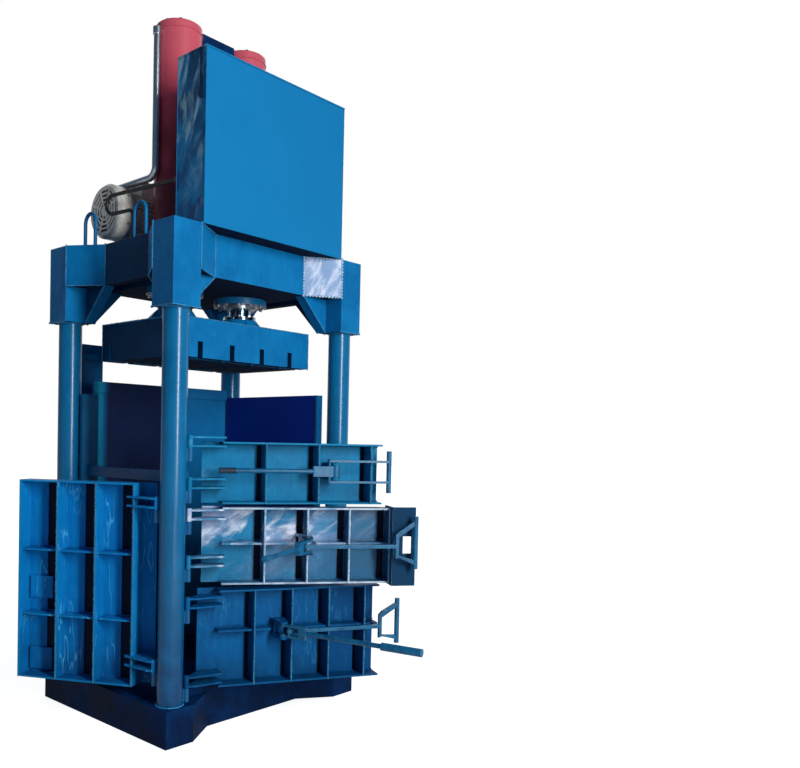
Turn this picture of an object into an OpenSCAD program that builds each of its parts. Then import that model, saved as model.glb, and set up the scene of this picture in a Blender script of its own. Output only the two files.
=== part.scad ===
// Four-column recycling baler with two hydraulic cylinders.
// The origin is on the floor, midway between the four columns. X runs along the
// long side, the three front doors face -Y and the tall side door faces -X.

/* [Columns] */
// Diameter of each column
column_d = 140; // [120:5:160]
// Distance between the column axes along X
column_pitch_x = 1320; // [1260:10:1440]
// Distance between the column axes along Y
column_pitch_y = 1050; // [1020:10:1120]
// Height of the top of the crosshead above the floor
frame_h = 2770; // [2740:10:2900]
// Side of the square sleeves round the columns
sleeve_w = 182; // [180:2:200]

/* [Crosshead and base] */
// Height of the upper sleeves
sleeve_h = 450; // [420:10:480]
// Height of the crosshead beams
beam_h = 240; // [220:10:260]
// How far the beam webs stand back from the sleeve faces
web_recess = 133; // [110:1:140]
// Half the length of the straight part of the long beams
web_half_x = 360; // [320:5:380]
// Half the length of the straight part of the short beams
web_half_y = 220; // [200:5:240]
// Width of the haunches under the beams
haunch_w = 70; // [50:5:90]
// Height of the base frame
base_h = 240; // [220:5:250]
// Height of the lower sleeves
foot_sleeve_h = 200; // [180:5:210]
// Thickness of the top and bottom plates of the frames
frame_plate = 20; // [16:1:25]

/* [Chamber] */
// Distance from the column axes inwards to the right wall
right_inset = 115; // [110:1:120]
// Distance from the column axes inwards to the back wall
back_inset = 90; // [85:1:95]
// Distance from the column axes inwards to the closed front doors
front_inset = 75; // [73:1:80]
// Distance from the column axes inwards to the closed side door
left_inset = 102; // [95:1:105]
// How far the back wall ends below the raised platen
back_wall_drop = 118; // [90:2:180]
// How far the right wall ends below the raised platen
right_wall_drop = 168; // [110:2:230]
// Thickness of the wall and door plates
plate_t = 12; // [10:1:14]
// Thickness of the liner sheets inside the doors
liner_t = 4; // [3:0.5:5]
// Thickness of the chamber floor
floor_t = 20; // [16:1:25]
// Depth of the wall stiffeners
stiffener_d = 60; // [50:5:70]

/* [Doors] */
// Depth of the ribs and flanges on the doors
rib_d = 100; // [80:5:104]
// Thickness of the ribs and flanges
rib_t = 10; // [8:1:12]
// Width of the strap slots in the top door
top_slot_w = 30; // [22:1:34]
// Width of the strap slots in the middle door
middle_slot_w = 42; // [30:1:44]
// Width of the strap slots in the bottom door
bottom_slot_w = 26; // [20:1:30]
// Width of the strap slots in the side door
side_slot_w = 55; // [40:1:60]
// Lower edge of the top door
top_door_z = 1275; // [1270:1:1280]
// Height of the top door
top_door_h = 338; // [320:1:345]
// How much shorter than the column distance the top door is
top_door_cut = 233; // [225:1:240]
// Lower edge of the middle door
middle_door_z = 838; // [835:1:845]
// Height of the middle door
middle_door_h = 420; // [400:1:425]
// The same for the middle door, up to its last rib
middle_door_cut = 190; // [188:1:192]
// Lower edge of the bottom door
bottom_door_z = 272; // [265:1:280]
// Height of the bottom door
bottom_door_h = 530; // [510:1:540]
// The same for the bottom door
bottom_door_cut = 194; // [192:1:200]
// Lower edge of the side door
side_door_z = 264; // [262:1:270]
// Height of the side door
side_door_h = 1114; // [1090:1:1116]
// The same for the side door, along the short side
side_door_cut = 199; // [195:1:210]
// Angle by which the top door stands open
top_open = 33; // [0:1:60]
// Angle by which the middle door stands open
middle_open = 36; // [0:1:60]
// Angle by which the bottom door stands open
bottom_open = 28; // [0:1:60]
// Angle by which the side door stands open
side_open = 30; // [0:1:60]

/* [Hinges] */
// Outer radius of the hinge knuckles
knuckle_r = 14; // [13:0.5:16]
// Height of one knuckle
knuckle_h = 70; // [60:1:72]
// Radius of the hinge pins
hinge_pin_r = 8; // [7:0.5:9]
// Radial clearance of every running pin
pin_fit = 0.05; // [0.03:0.01:0.1]
// Gap between the two knuckles of a hinge
knuckle_gap = 0.3; // [0.2:0.1:0.5]

/* [Latches] */
// Distance from a handle's pivot to its crank pin
crank_r = 36; // [34:1:38]
// Radius of the handle pivot pins
pivot_r = 10; // [8:1:11]
// Radius of the crank pins
crank_pin_r = 8; // [7:1:9]
// Radius of the upright bar at the end of each link
latch_bar_r = 14; // [12:1:15]
// Diameter of the handle tubes
handle_tube_d = 26; // [22:1:28]
// Length of the top handle
top_handle_l = 645; // [560:1:660]
// Length of the middle handle
middle_handle_l = 560; // [500:1:600]
// Length of the bottom handle
bottom_handle_l = 825; // [700:5:840]
// Angle by which the top handle is swung out
top_swing = 0; // [0:1:40]
// Angle by which the middle handle is swung out
middle_swing = 57; // [0:1:90]
// Angle by which the bottom handle is swung out
bottom_swing = 130; // [60:1:130]

/* [Platen] */
// Gap between the platen's ends and the right wall
platen_end_gap = 15; // [15:1:25]
// Gap between the platen's long side and the back wall
platen_side_gap = 65; // [55:1:85]
// Height of the platen
platen_h = 223; // [200:1:240]
// Gap between the raised platen and the crosshead
platen_gap = 219; // [207:1:247]
// Distance between neighbouring strap grooves
strap_pitch = 242; // [230:1:250]
// Width of the strap grooves
groove_w = 38; // [30:1:42]
// Depth of the strap grooves in the platen
groove_d = 92; // [70:1:100]

/* [Cylinders] */
// Distance between the two cylinders
cylinder_pitch = 530; // [510:5:540]
// Outer diameter of the cylinder tubes
cylinder_d = 276; // [260:1:280]
// Bore of the cylinders
cylinder_bore = 230; // [210:1:236]
// Height of the cylinder tops above the crosshead
cylinder_rise = 1324; // [1280:2:1350]
// Diameter of the rods
rod_d = 140; // [120:1:150]
// Diameter of the mounting flanges
flange_d = 345; // [335:1:350]
// Thickness of the mounting flanges
flange_t = 40; // [35:1:45]
// Thickness of the upper end caps
cap_t = 45; // [40:1:55]

/* [Oil tank] */
// Length of the tank
tank_l = 1110; // [1060:5:1115]
// Depth of the tank
tank_w = 242; // [220:1:244]
// Height of the tank
tank_h = 937; // [900:1:960]
// Wall thickness of the tank
tank_wall = 6; // [5:1:8]

/* [Power unit] */
// Distance from the end of the crosshead webs to the fan cowl
cowl_inset = 63; // [60:1:70]
// Height of the motor axis above the crosshead
motor_h = 230; // [225:1:240]
// Distance of the motor axis behind the cylinders' centres
motor_y = 335; // [330:1:345]
// Diameter of the motor body over its fins
motor_d = 290; // [270:2:300]
// Length of the motor body
motor_l = 375; // [365:5:380]
// Diameter of the fan cowl
cowl_d = 330; // [320:2:340]
// Length of the fan cowl
cowl_l = 95; // [85:1:110]
// Outer diameter of the pressure pipe
pipe_d = 42; // [36:1:44]

/* [Hidden] */

$fn = 48;
blue = [0.08, 0.48, 0.72];
dark_blue = [0.10, 0.18, 0.32];
red = [0.62, 0.16, 0.20];
steel = [0.75, 0.76, 0.78];
motor_grey = [0.62, 0.63, 0.60];
black = [0.07, 0.07, 0.08];

col_x = column_pitch_x / 2;
col_y = column_pitch_y / 2;
sleeve_r = sleeve_w / 2;
beam_z = frame_h - beam_h;
sleeve_z = frame_h - sleeve_h;
web_x = col_x + sleeve_r - web_recess;
web_y = col_y + sleeve_r - web_recess;
column_z = frame_plate;
column_top = frame_h - frame_plate;
floor_top = base_h + floor_t;
chamber_right = col_x - right_inset;
chamber_left = col_x - left_inset;
chamber_back = col_y - back_inset;
chamber_front = col_y - front_inset;
platen_l = 2 * (chamber_right - platen_end_gap);
platen_w = 2 * (chamber_back - platen_side_gap);
platen_z = beam_z - platen_gap - platen_h;
back_wall_top = platen_z - back_wall_drop;
right_wall_top = platen_z - right_wall_drop;
top_door_l = column_pitch_x - top_door_cut;
middle_door_l = column_pitch_x - middle_door_cut;
bottom_door_l = column_pitch_x - bottom_door_cut;
side_door_l = column_pitch_y - side_door_cut;
groove_x = [for (i = [-1.5 : 1 : 1.5]) i * strap_pitch];
cross_groove_y = 280;
floor_groove_d = 12;

// Hinge axes stand this far from the column axes
hinge_r = column_d / 2 + knuckle_r + 3;
front_hinge = [-col_x + hinge_r * cos(-37), -col_y + hinge_r * sin(-37)];
side_hinge = [-col_x + hinge_r * cos(130), -col_y + hinge_r * sin(130)];
// Distance from a hinge axis inwards to the outer face of the door plate
front_skin = -chamber_front - front_hinge[1] - plate_t;
side_skin = -chamber_left - side_hinge[0] - plate_t;
door_start = 75;
flange_start = 180;
side_start = 61;
side_flange_start = 150;
lap_z = middle_door_z - 8;
lap_h = middle_door_h + 18;

// Hinge heights: the lower face of each fixed knuckle
top_hinges = [1281, 1506];
middle_hinges = [860, 1114];
bottom_hinges = [214, 637];
side_hinges = [299, 1173];

// Latch places on the doors, measured from the hinge axis
top_pivot = [top_door_l - 281, -10, top_door_z + 184];
middle_pivot = [middle_door_l - 487, -60, middle_door_z + 220];
bottom_pivot = [bottom_door_l - 588, -10, bottom_door_z + 300];
cheek_gap = 72;
cheek_t = 12;
cheek_r = 24;
fork_t = 12;
bar_gap = 104;
bar_t = 12;
bar_w = 26;
keeper_t = 9;
keeper_w = 24;
keeper_play = 4;
door_play = 3;
latch_step = door_play + keeper_t + keeper_play + latch_bar_r;
top_bar_x = top_door_l + latch_step;
middle_bar_x = middle_door_l + 90;
bottom_bar_x = bottom_door_l + latch_step;
top_bar_len = 236;
middle_bar_len = 290;
bottom_bar_len = 258;
lap_w = 136;

cylinder_top = frame_h + cylinder_rise;
cyl_x = cylinder_pitch / 2;
rod_foot_z = platen_z + platen_h;
flange_z = beam_z - flange_t;
gland_r = rod_d / 2 + 32;
piston_h = 90;
cap_z = cylinder_top - cap_t;
piston_z = cap_z - piston_h - 12;
boss_h = 105;
bore_play = 0.4;

tank_y = -col_y - sleeve_r;
tank_top = frame_h + tank_h;
motor_z = frame_h + motor_h;
motor_x0 = -web_x + cowl_inset + cowl_l;
shaft_r = 21;
pump_x = motor_x0 + motor_l + 107;
pipe_x = -cyl_x - cylinder_d / 2 - pipe_d / 2 - 1;
run_z = motor_z + 172;
box_x = -465;
box_y = col_y + column_d / 2 + 18;
box_w = 190;
box_d = 170;
box_h = 500;
box_z = sleeve_z - box_h - 105;
box_wall = 3;
button_travel = 6;
gland_t = 18;
gland_l = 108;
gland_z = flange_z - gland_t;
loop_w = 110;
loop_r = 11;
loop_leg = 140;
front_loop_y = -100;
back_loop_y = 340;
hub_r = 44;
fan_r = 132;
fan_l = 40;
suction_r = 24;
hose_r = 11;
hose_bend = 55;
hose_small_bend = 40;
hose_reach = 560;
hose_back = 420;
hose_clear = 38;
hose_x = -tank_l / 2 + 25;
// The hose leans so far that it passes in front of the fan cowl
hose_turn = atan2(hose_x - (motor_x0 - cowl_l - hose_clear), motor_y - cowl_d / 2 - tank_y - tank_w);
grip_l = 90;
grip_wall = 3;
middle_sleeve_l = 40;
bottom_sleeve_l = 225;
gauge_l = 232;
gauge_drop = 269;

module ring_bolts(count, pcd, head_r, head_h, start = 0) {
    for (i = [0 : count - 1]) {
        rotate([0, 0, start + i * 360 / count]) translate([pcd / 2, 0, 0])
            cylinder(r = head_r, h = head_h, $fn = 6);
    }
}

// One quarter of a frame's plan, clockwise from the middle of the front web
function quarter_plan(recess_side) = [
    [web_half_x, -web_y],
    [col_x - sleeve_r, -col_y - sleeve_r],
    [col_x + sleeve_r, -col_y - sleeve_r],
    [col_x + sleeve_r, -col_y + sleeve_r],
    [recess_side ? web_x : col_x + sleeve_r, -web_half_y]];

function mirrored(pts, sx, sy) = [for (p = pts) [p[0] * sx, p[1] * sy]];
function reversed(pts) = [for (i = [len(pts) - 1 : -1 : 0]) pts[i]];

module frame_plan(recess_side) {
    q = quarter_plan(recess_side);
    polygon(concat(q, reversed(mirrored(q, 1, -1)), mirrored(q, -1, -1), reversed(mirrored(q, -1, 1))));
}

module at_columns() {
    for (sx = [-1, 1], sy = [-1, 1]) translate([sx * col_x, sy * col_y, 0]) children();
}

module base_frame() {
    color(dark_blue) difference() {
        union() {
            linear_extrude(foot_sleeve_h) frame_plan(false);
            translate([-web_x, -web_y, 0]) cube([2 * web_x, 2 * web_y, base_h]);
        }
        translate([-web_x + 90, -web_y + 90, -1])
            cube([2 * web_x - 180, 2 * web_y - 180, base_h - frame_plate + 1]);
        at_columns() translate([0, 0, column_z]) cylinder(d = column_d, h = base_h);
    }
}

module chamber_floor() {
    color(dark_blue) difference() {
        translate([-chamber_left + 40, -chamber_front + 20, base_h])
            cube([chamber_left + chamber_right - 60, chamber_front + chamber_back - 20, floor_t]);
        for (x = groove_x) {
            translate([x - groove_w / 2, -col_y, floor_top - floor_groove_d])
                cube([groove_w, 2 * col_y, floor_t]);
        }
    }
}

module column(sx, sy) {
    color(blue) translate([sx * col_x, sy * col_y, column_z])
        cylinder(d = column_d, h = column_top - column_z);
}
module column_front_left() { column(-1, -1); }
module column_front_right() { column(1, -1); }
module column_back_left() { column(-1, 1); }
module column_back_right() { column(1, 1); }

// Triangular box under a long beam, from a sleeve to the straight web
module haunch_x() {
    translate([0, -web_y + haunch_w, 0]) rotate([90, 0, 0]) linear_extrude(haunch_w)
        polygon([[web_half_x, beam_z + 1], [col_x - sleeve_r + 2, beam_z + 1],
            [col_x - sleeve_r + 2, sleeve_z], [col_x - sleeve_r - 6, sleeve_z]]);
}

// The same under a short beam
module haunch_y() {
    translate([web_x - haunch_w, 0, 0]) rotate([90, 0, 90]) linear_extrude(haunch_w)
        polygon([[-web_half_y, beam_z + 1], [-col_y + sleeve_r - 2, beam_z + 1],
            [-col_y + sleeve_r - 2, sleeve_z], [-col_y + sleeve_r + 6, sleeve_z]]);
}

module crosshead() {
    inner_x = web_x - 3 * frame_plate;
    inner_y = web_y - 3 * frame_plate;
    color(blue) difference() {
        union() {
            translate([0, 0, beam_z]) linear_extrude(beam_h) frame_plan(true);
            at_columns() translate([-sleeve_r, -sleeve_r, sleeve_z]) cube([sleeve_w, sleeve_w, sleeve_h]);
            for (sx = [0, 1], sy = [0, 1]) {
                mirror([sx, 0, 0]) mirror([0, sy, 0]) {
                    haunch_x();
                    haunch_y();
                }
            }
        }
        at_columns() translate([0, 0, sleeve_z - 1]) cylinder(d = column_d, h = column_top - sleeve_z + 1);
        for (sx = [-1, 1]) {
            translate([sx * cyl_x, 0, beam_z - 1]) cylinder(r = cylinder_d / 2 + bore_play, h = beam_h + 2);
        }
        // Openings in the lower plate, between the cylinders and the outer webs
        for (sx = [-1, 1]) {
            translate([sx > 0 ? cyl_x + cylinder_d / 2 + 40 : -inner_x, -inner_y, beam_z - 1])
                cube([inner_x - cyl_x - cylinder_d / 2 - 40, 2 * inner_y, beam_h - frame_plate + 1]);
        }
    }
}

module lifting_loop() {
    for (s = [-1, 1]) translate([0, s * loop_w / 2, 0]) cylinder(r = loop_r, h = loop_leg);
    translate([0, 0, loop_leg]) rotate([90, 0, 90])
        rotate_extrude(angle = 180) translate([loop_w / 2, 0]) circle(r = loop_r);
}

module lifting_loops() {
    color(blue) for (s = [-1, 1]) {
        translate([s * (web_x - 21), front_loop_y, frame_h]) lifting_loop();
        translate([s * (web_x + 27), back_loop_y, frame_h]) lifting_loop();
    }
}

module back_wall() {
    wall_w = chamber_left + chamber_right - 20;
    color(blue) {
        translate([-chamber_left + 10, chamber_back, base_h])
            cube([wall_w, plate_t, back_wall_top - base_h]);
        translate([-chamber_left + 10, chamber_back - plate_t, back_wall_top - 70])
            cube([wall_w, plate_t, 70]);
        for (i = [0 : 4]) {
            translate([-chamber_left + 60 + i * (wall_w - 110) / 4, chamber_back + plate_t, base_h])
                cube([rib_t, stiffener_d, back_wall_top - base_h]);
        }
        for (z = [0.33, 0.66, 1]) {
            translate([-chamber_left + 60, chamber_back + plate_t,
                base_h + z * (back_wall_top - base_h) - rib_t])
                cube([wall_w - 100, stiffener_d, rib_t]);
        }
    }
}

module right_wall() {
    wall_l = chamber_front + chamber_back - 20;
    h = right_wall_top - base_h;
    color(blue) {
        translate([chamber_right, -chamber_front + 20, base_h]) cube([plate_t, wall_l, h]);
        for (i = [0 : 3]) {
            translate([chamber_right + plate_t, -chamber_front + 90 + i * (wall_l - 170) / 3, base_h])
                cube([stiffener_d, rib_t, h]);
        }
        for (z = [0.33, 0.66, 1]) {
            translate([chamber_right + plate_t, -chamber_front + 90, base_h + z * h - rib_t])
                cube([stiffener_d, wall_l - 160, rib_t]);
        }
    }
}

module feed_frame() {
    bar_top = 1446;
    bar_low = side_door_z + side_door_h + 8;
    color(blue) difference() {
        union() {
            // Post beside the front right column
            translate([chamber_right - 2, -chamber_front + 1, base_h])
                cube([50, 18.5, right_wall_top - base_h]);
            // Post at the back of the side opening
            translate([-chamber_left - 82, chamber_back - 27, base_h])
                cube([110, 26.7, back_wall_top - base_h - 84]);
            // Bar over the side door
            translate([-chamber_left - 42, -col_y, bar_low])
                cube([plate_t + 30, 2 * col_y, bar_top - bar_low]);
        }
        at_columns() cylinder(d = column_d, h = frame_h);
    }
}

// Finger on the front right column. The bar of a closed latch is drawn towards it.
module keeper(bar_x, pivot) {
    x1 = front_hinge[0] + bar_x - latch_bar_r - keeper_play;
    y1 = front_hinge[1] + pivot[1] - latch_bar_r - 4;
    root_y = front_hinge[1] + pivot[1] + latch_bar_r + 8;
    for (dz = [-34, 14]) {
        translate([0, 0, pivot[2] + dz]) linear_extrude(20)
            polygon([[x1 - keeper_t, y1], [x1, y1], [x1, root_y], [x1 + keeper_w, root_y],
                [col_x, -col_y], [x1 - keeper_t, root_y + 22]]);
    }
}

module latch_keepers() {
    color(blue) difference() {
        union() {
            keeper(top_bar_x, top_pivot);
            keeper(middle_bar_x, middle_pivot);
            keeper(bottom_bar_x, bottom_pivot);
        }
        translate([col_x, -col_y, 0]) cylinder(d = column_d, h = frame_h);
    }
}

module knuckle() {
    difference() {
        cylinder(r = knuckle_r, h = knuckle_h);
        translate([0, 0, -1]) cylinder(r = hinge_pin_r, h = knuckle_h + 2);
    }
}

module fixed_knuckle(angle_to_column) {
    knuckle();
    difference() {
        rotate([0, 0, angle_to_column]) translate([knuckle_r - 3, -12, 0]) cube([hinge_r, 24, knuckle_h]);
        rotate([0, 0, angle_to_column]) translate([hinge_r, 0, -1])
            cylinder(d = column_d, h = knuckle_h + 2);
        rotate([0, 0, angle_to_column]) translate([hinge_r, -column_d, -1])
            cube([hinge_r, 2 * column_d, knuckle_h + 2]);
    }
}

module column_knuckles() {
    color(blue) {
        for (z = concat(top_hinges, middle_hinges, bottom_hinges)) {
            translate([front_hinge[0], front_hinge[1], z]) fixed_knuckle(143);
        }
        for (z = side_hinges) translate([side_hinge[0], side_hinge[1], z]) fixed_knuckle(-50);
    }
}

module hinge_pin() {
    translate([0, 0, 1]) cylinder(r = hinge_pin_r, h = 2 * knuckle_h - 14);
}

module hinge_pins() {
    color(steel) {
        for (z = concat(top_hinges, middle_hinges, bottom_hinges)) {
            translate([front_hinge[0], front_hinge[1], z]) hinge_pin();
        }
        for (z = side_hinges) translate([side_hinge[0], side_hinge[1], z]) hinge_pin();
    }
}

// The door's half of a hinge: a knuckle and two gusset plates that reach the door plate
module door_hinge(skin) {
    translate([0, 0, knuckle_h + knuckle_gap]) difference() {
        union() {
            cylinder(r = knuckle_r, h = knuckle_h);
            for (z = [6, knuckle_h - 6 - rib_t]) {
                translate([0, 0, z]) linear_extrude(rib_t)
                    polygon([[0, -knuckle_r], [40, -knuckle_r], [flange_start + 20, skin - rib_d + 8],
                        [flange_start + 20, skin + 1], [door_start, skin + 1], [door_start, skin - 20],
                        [knuckle_r - 2, knuckle_r]]);
            }
        }
        translate([0, 0, -1]) cylinder(r = hinge_pin_r + pin_fit, h = knuckle_h - 9);
    }
}

// A ribbed door in its own frame: X from the hinge axis, Y inwards, Z true height
module door_panel(skin, z, h, l, slots, slot_w, start, flange_from, mids, hinges, rib_gap) {
    difference() {
        translate([start, skin, z]) cube([l - start, plate_t - liner_t, h]);
        for (x = slots) translate([x, skin - 1, z + rib_t]) cube([slot_w, plate_t + 2, h - 2 * rib_t]);
    }
    for (dz = [0, h - rib_t]) {
        translate([flange_from, skin - rib_d, z + dz]) cube([l - flange_from, rib_d + 1, rib_t]);
    }
    for (x = slots) {
        translate([x + rib_gap, skin - rib_d, z + 1]) cube([rib_t, rib_d + 1, h - 2]);
    }
    for (m = mids) {
        translate([m[1], skin - rib_d + 20, z + m[0]]) cube([m[2] - m[1], rib_d - 19, rib_t]);
    }
    for (hz = hinges) translate([0, 0, hz]) door_hinge(skin);
}

// Sheet that lines a door on the chamber side and closes its slots
module liner(skin, z, h, l, start) {
    translate([start, skin + plate_t - liner_t, z]) cube([l - start, liner_t, h]);
}

// Clevis that carries a handle on a door
module handle_clevis(pivot, skin) {
    for (s = [-1, 1]) {
        translate([pivot[0], 0, pivot[2] + s * (cheek_gap + cheek_t) / 2 - cheek_t / 2]) difference() {
            linear_extrude(cheek_t) union() {
                translate([0, pivot[1]]) circle(r = cheek_r);
                polygon([[-cheek_r + 2, pivot[1]], [cheek_r - 2, pivot[1]], [44, skin + 1], [-44,
                    skin + 1]]);
            }
            translate([0, pivot[1], -1]) cylinder(r = pivot_r, h = cheek_t + 2);
        }
    }
    translate([pivot[0] - 30, skin - 34, pivot[2] - cheek_gap / 2 - 1]) cube([60, 8, cheek_gap + 2]);
}

module place_front(open) {
    translate([front_hinge[0], front_hinge[1], 0]) rotate([0, 0, -open]) children();
}

module place_side() {
    translate([side_hinge[0], side_hinge[1], 0]) rotate([0, 0, side_open + 90]) mirror([0, 1, 0])
        children();
}

// Where the strap slots stand, as shares of each door's length
side_slots = [for (s = [0.248, 0.5147, 0.7885]) s * side_door_l];
top_slots = [for (s = [0.3523, 0.6265, 0.9062]) s * top_door_l];
middle_slots = [for (s = [0.3239, 0.5345, 0.7434, 0.9496]) s * middle_door_l];
bottom_slots = [for (s = [0.3091, 0.5018, 0.6972, 0.8917]) s * bottom_door_l];

module side_door() {
    color(blue) place_side() {
        door_panel(side_skin, side_door_z, side_door_h, side_door_l, side_slots, side_slot_w, side_start,
            side_flange_start, [[350, side_flange_start, side_door_l], [716, side_flange_start,
                side_door_l]], side_hinges, -61);
        translate([side_door_l - rib_t, side_skin - rib_d, side_door_z])
            cube([rib_t, rib_d + 1, side_door_h]);
        // Lugs welded near the free edge
        for (z = [290, 700]) {
            translate([side_door_l - 165, side_skin - 14, z]) cube([140, 14.5, 125]);
        }
    }
}

module top_door() {
    color(blue) place_front(top_open) {
        door_panel(front_skin, top_door_z, top_door_h, top_door_l, top_slots, top_slot_w, door_start,
            flange_start, [], top_hinges, top_slot_w);
        handle_clevis(top_pivot, front_skin);
    }
}

module middle_door() {
    mid = middle_pivot[2] - middle_door_z - rib_t / 2;
    color(blue) place_front(middle_open) {
        door_panel(front_skin, middle_door_z, middle_door_h, middle_door_l, middle_slots, middle_slot_w,
            door_start,
            flange_start, [[mid, flange_start, middle_pivot[0] - 60], [mid, middle_pivot[0] + 60,
                middle_door_l]],
            middle_hinges, middle_slot_w);
        handle_clevis(middle_pivot, front_skin);
        // End box that laps over the column, with a window for the keeper
        translate([middle_door_l - plate_t, -26, lap_z]) cube([plate_t, front_skin + 27, lap_h]);
        difference() {
            translate([middle_door_l - plate_t, -36, lap_z]) cube([lap_w, plate_t, lap_h]);
            translate([middle_bar_x - latch_bar_r - keeper_play - keeper_t - 12, -40, middle_pivot[2] - 48])
                cube([50, 20, 96]);
        }
    }
}

module bottom_door() {
    mid = bottom_pivot[2] - bottom_door_z - rib_t / 2;
    color(blue) place_front(bottom_open) {
        door_panel(front_skin, bottom_door_z, bottom_door_h, bottom_door_l, bottom_slots, bottom_slot_w,
            door_start,
            flange_start, [[mid, flange_start, bottom_pivot[0] - 60], [mid, bottom_pivot[0] + 60,
                bottom_door_l]],
            bottom_hinges, bottom_slot_w);
        handle_clevis(bottom_pivot, front_skin);
    }
}

module side_door_liner() {
    color(black) place_side() liner(side_skin, side_door_z, side_door_h, side_door_l, side_start);
}
module top_door_liner() {
    color(black) place_front(top_open) liner(front_skin, top_door_z, top_door_h, top_door_l, door_start);
}
module middle_door_liner() {
    color(black) place_front(middle_open)
        liner(front_skin, middle_door_z, middle_door_h, middle_door_l, door_start);
}
module bottom_door_liner() {
    color(black) place_front(bottom_open)
        liner(front_skin, bottom_door_z, bottom_door_h, bottom_door_l, door_start);
}

module place_pivot(open, pivot) {
    place_front(open) translate(pivot) children();
}

module top_pivot_pin() {
    color(steel) place_pivot(top_open, top_pivot)
        translate([0, 0, -cheek_gap / 2 - cheek_t]) cylinder(r = pivot_r, h = cheek_gap + 2 * cheek_t);
}

// Two stub pins, so that the link can pass between them over the centre
module stub_pins() {
    for (s = [-1, 1]) {
        translate([0, 0, s > 0 ? cheek_gap / 2 - fork_t - 2 : -cheek_gap / 2 - cheek_t])
            cylinder(r = pivot_r, h = fork_t + cheek_t + 2);
    }
}
module middle_pivot_pin() { color(steel) place_pivot(middle_open, middle_pivot) stub_pins(); }
module bottom_pivot_pin() { color(steel) place_pivot(bottom_open, bottom_pivot) stub_pins(); }

// Lever with its crank pin and tube, pointing back along the door
module solid_handle(l) {
    lever_h = cheek_gap - 2;
    difference() {
        union() {
            translate([0, 0, -lever_h / 2]) cylinder(r = 22, h = lever_h);
            translate([-130, -14, -lever_h / 2 + 6]) cube([130, 28, lever_h - 12]);
        }
        translate([0, 0, -lever_h]) cylinder(r = pivot_r + pin_fit, h = 2 * lever_h);
    }
    translate([-crank_r, 0, -bar_gap / 2 - bar_t - 6])
        cylinder(r = crank_pin_r, h = bar_gap + 2 * bar_t + 12);
    translate([-l, 0, 0]) rotate([0, 90, 0]) cylinder(d = handle_tube_d, h = l - 120);
}

// Forked lever. The link rides on a pin between its two plates.
module forked_handle(l, sleeve_l, sleeve_d) {
    half = cheek_gap / 2 - 1;
    for (s = [-1, 1]) {
        translate([0, 0, s > 0 ? half - fork_t : -half]) difference() {
            union() {
                cylinder(r = 22, h = fork_t);
                translate([-150, -16, 0]) cube([150, 32, fork_t]);
            }
            translate([0, 0, -1]) cylinder(r = pivot_r + pin_fit, h = fork_t + 2);
        }
    }
    translate([-150, -16, -half + 1]) cube([46, 32, 2 * half - 2]);
    translate([-crank_r, 0, -half + 1]) cylinder(r = crank_pin_r, h = 2 * half - 2);
    translate([-l, 0, 0]) rotate([0, 90, 0]) cylinder(d = handle_tube_d, h = l - 140);
    translate([-l - 4, 0, 0]) rotate([0, 90, 0]) cylinder(d = sleeve_d, h = sleeve_l);
}

module place_handle(open, pivot, swing) {
    place_front(open) translate(pivot) rotate([0, 0, swing]) children();
}

module top_handle() { color(blue) place_handle(top_open, top_pivot, top_swing) solid_handle(top_handle_l); }
module top_grip() {
    color(black) place_handle(top_open, top_pivot, top_swing) translate([-top_handle_l - 4, 0, 0])
        rotate([0, 90, 0])
        difference() {
            cylinder(d = handle_tube_d + 2 * grip_wall, h = grip_l);
            translate([0, 0, 4]) cylinder(d = handle_tube_d, h = grip_l);
        }
}
module middle_handle() {
    color(blue) place_handle(middle_open, middle_pivot, middle_swing)
        forked_handle(middle_handle_l, middle_sleeve_l, handle_tube_d + 6);
}
module bottom_handle() {
    color(blue) place_handle(bottom_open, bottom_pivot, bottom_swing)
        forked_handle(bottom_handle_l, bottom_sleeve_l, handle_tube_d + 16);
}

// Two straps on the crank pin, joined by the upright bar
module strap_link(l, bar_h) {
    for (s = [-1, 1]) {
        translate([0, 0, s * (bar_gap + bar_t) / 2 - bar_t / 2]) difference() {
            union() {
                cylinder(r = bar_w / 2, h = bar_t);
                translate([0, -bar_w / 2, 0]) cube([l, bar_w, bar_t]);
            }
            translate([0, 0, -1]) cylinder(r = crank_pin_r + pin_fit, h = bar_t + 2);
        }
    }
    translate([l, 0, -bar_h / 2]) cylinder(r = latch_bar_r, h = bar_h);
}

// One bar on the crank pin that ends in a yoke with the upright bar
module yoke_link(l, bar_h, rise) {
    bar_half = 10;
    neck = 115;
    difference() {
        union() {
            translate([0, 0, -bar_half]) cylinder(r = bar_w / 2, h = 2 * bar_half);
            translate([0, -bar_w / 2, -bar_half]) cube([l - neck + 10, bar_w, 2 * bar_half]);
        }
        translate([0, 0, -bar_half - 1]) cylinder(r = crank_pin_r + pin_fit, h = 2 * bar_half + 2);
    }
    translate([0, 10, 0]) rotate([90, 0, 0]) linear_extrude(20) difference() {
        polygon([[l - neck, -66], [l - neck + 20, -72 + rise / 2], [l, rise - bar_h / 2 + 20], [l,
            rise + bar_h / 2 - 20],
            [l - neck + 20, 72 + rise / 2], [l - neck, 66]]);
        polygon([[l - neck + 18, -50], [l + 1, rise - bar_h / 2 + 46], [l + 1, rise + bar_h / 2 - 46],
            [l - neck + 18, 50]]);
    }
    translate([l, 0, rise - bar_h / 2]) cylinder(r = latch_bar_r, h = bar_h);
}

module place_link(open, pivot, swing) {
    place_front(open)
        translate([pivot[0] - crank_r * cos(swing), pivot[1] - crank_r * sin(swing), pivot[2]]) children();
}

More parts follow.
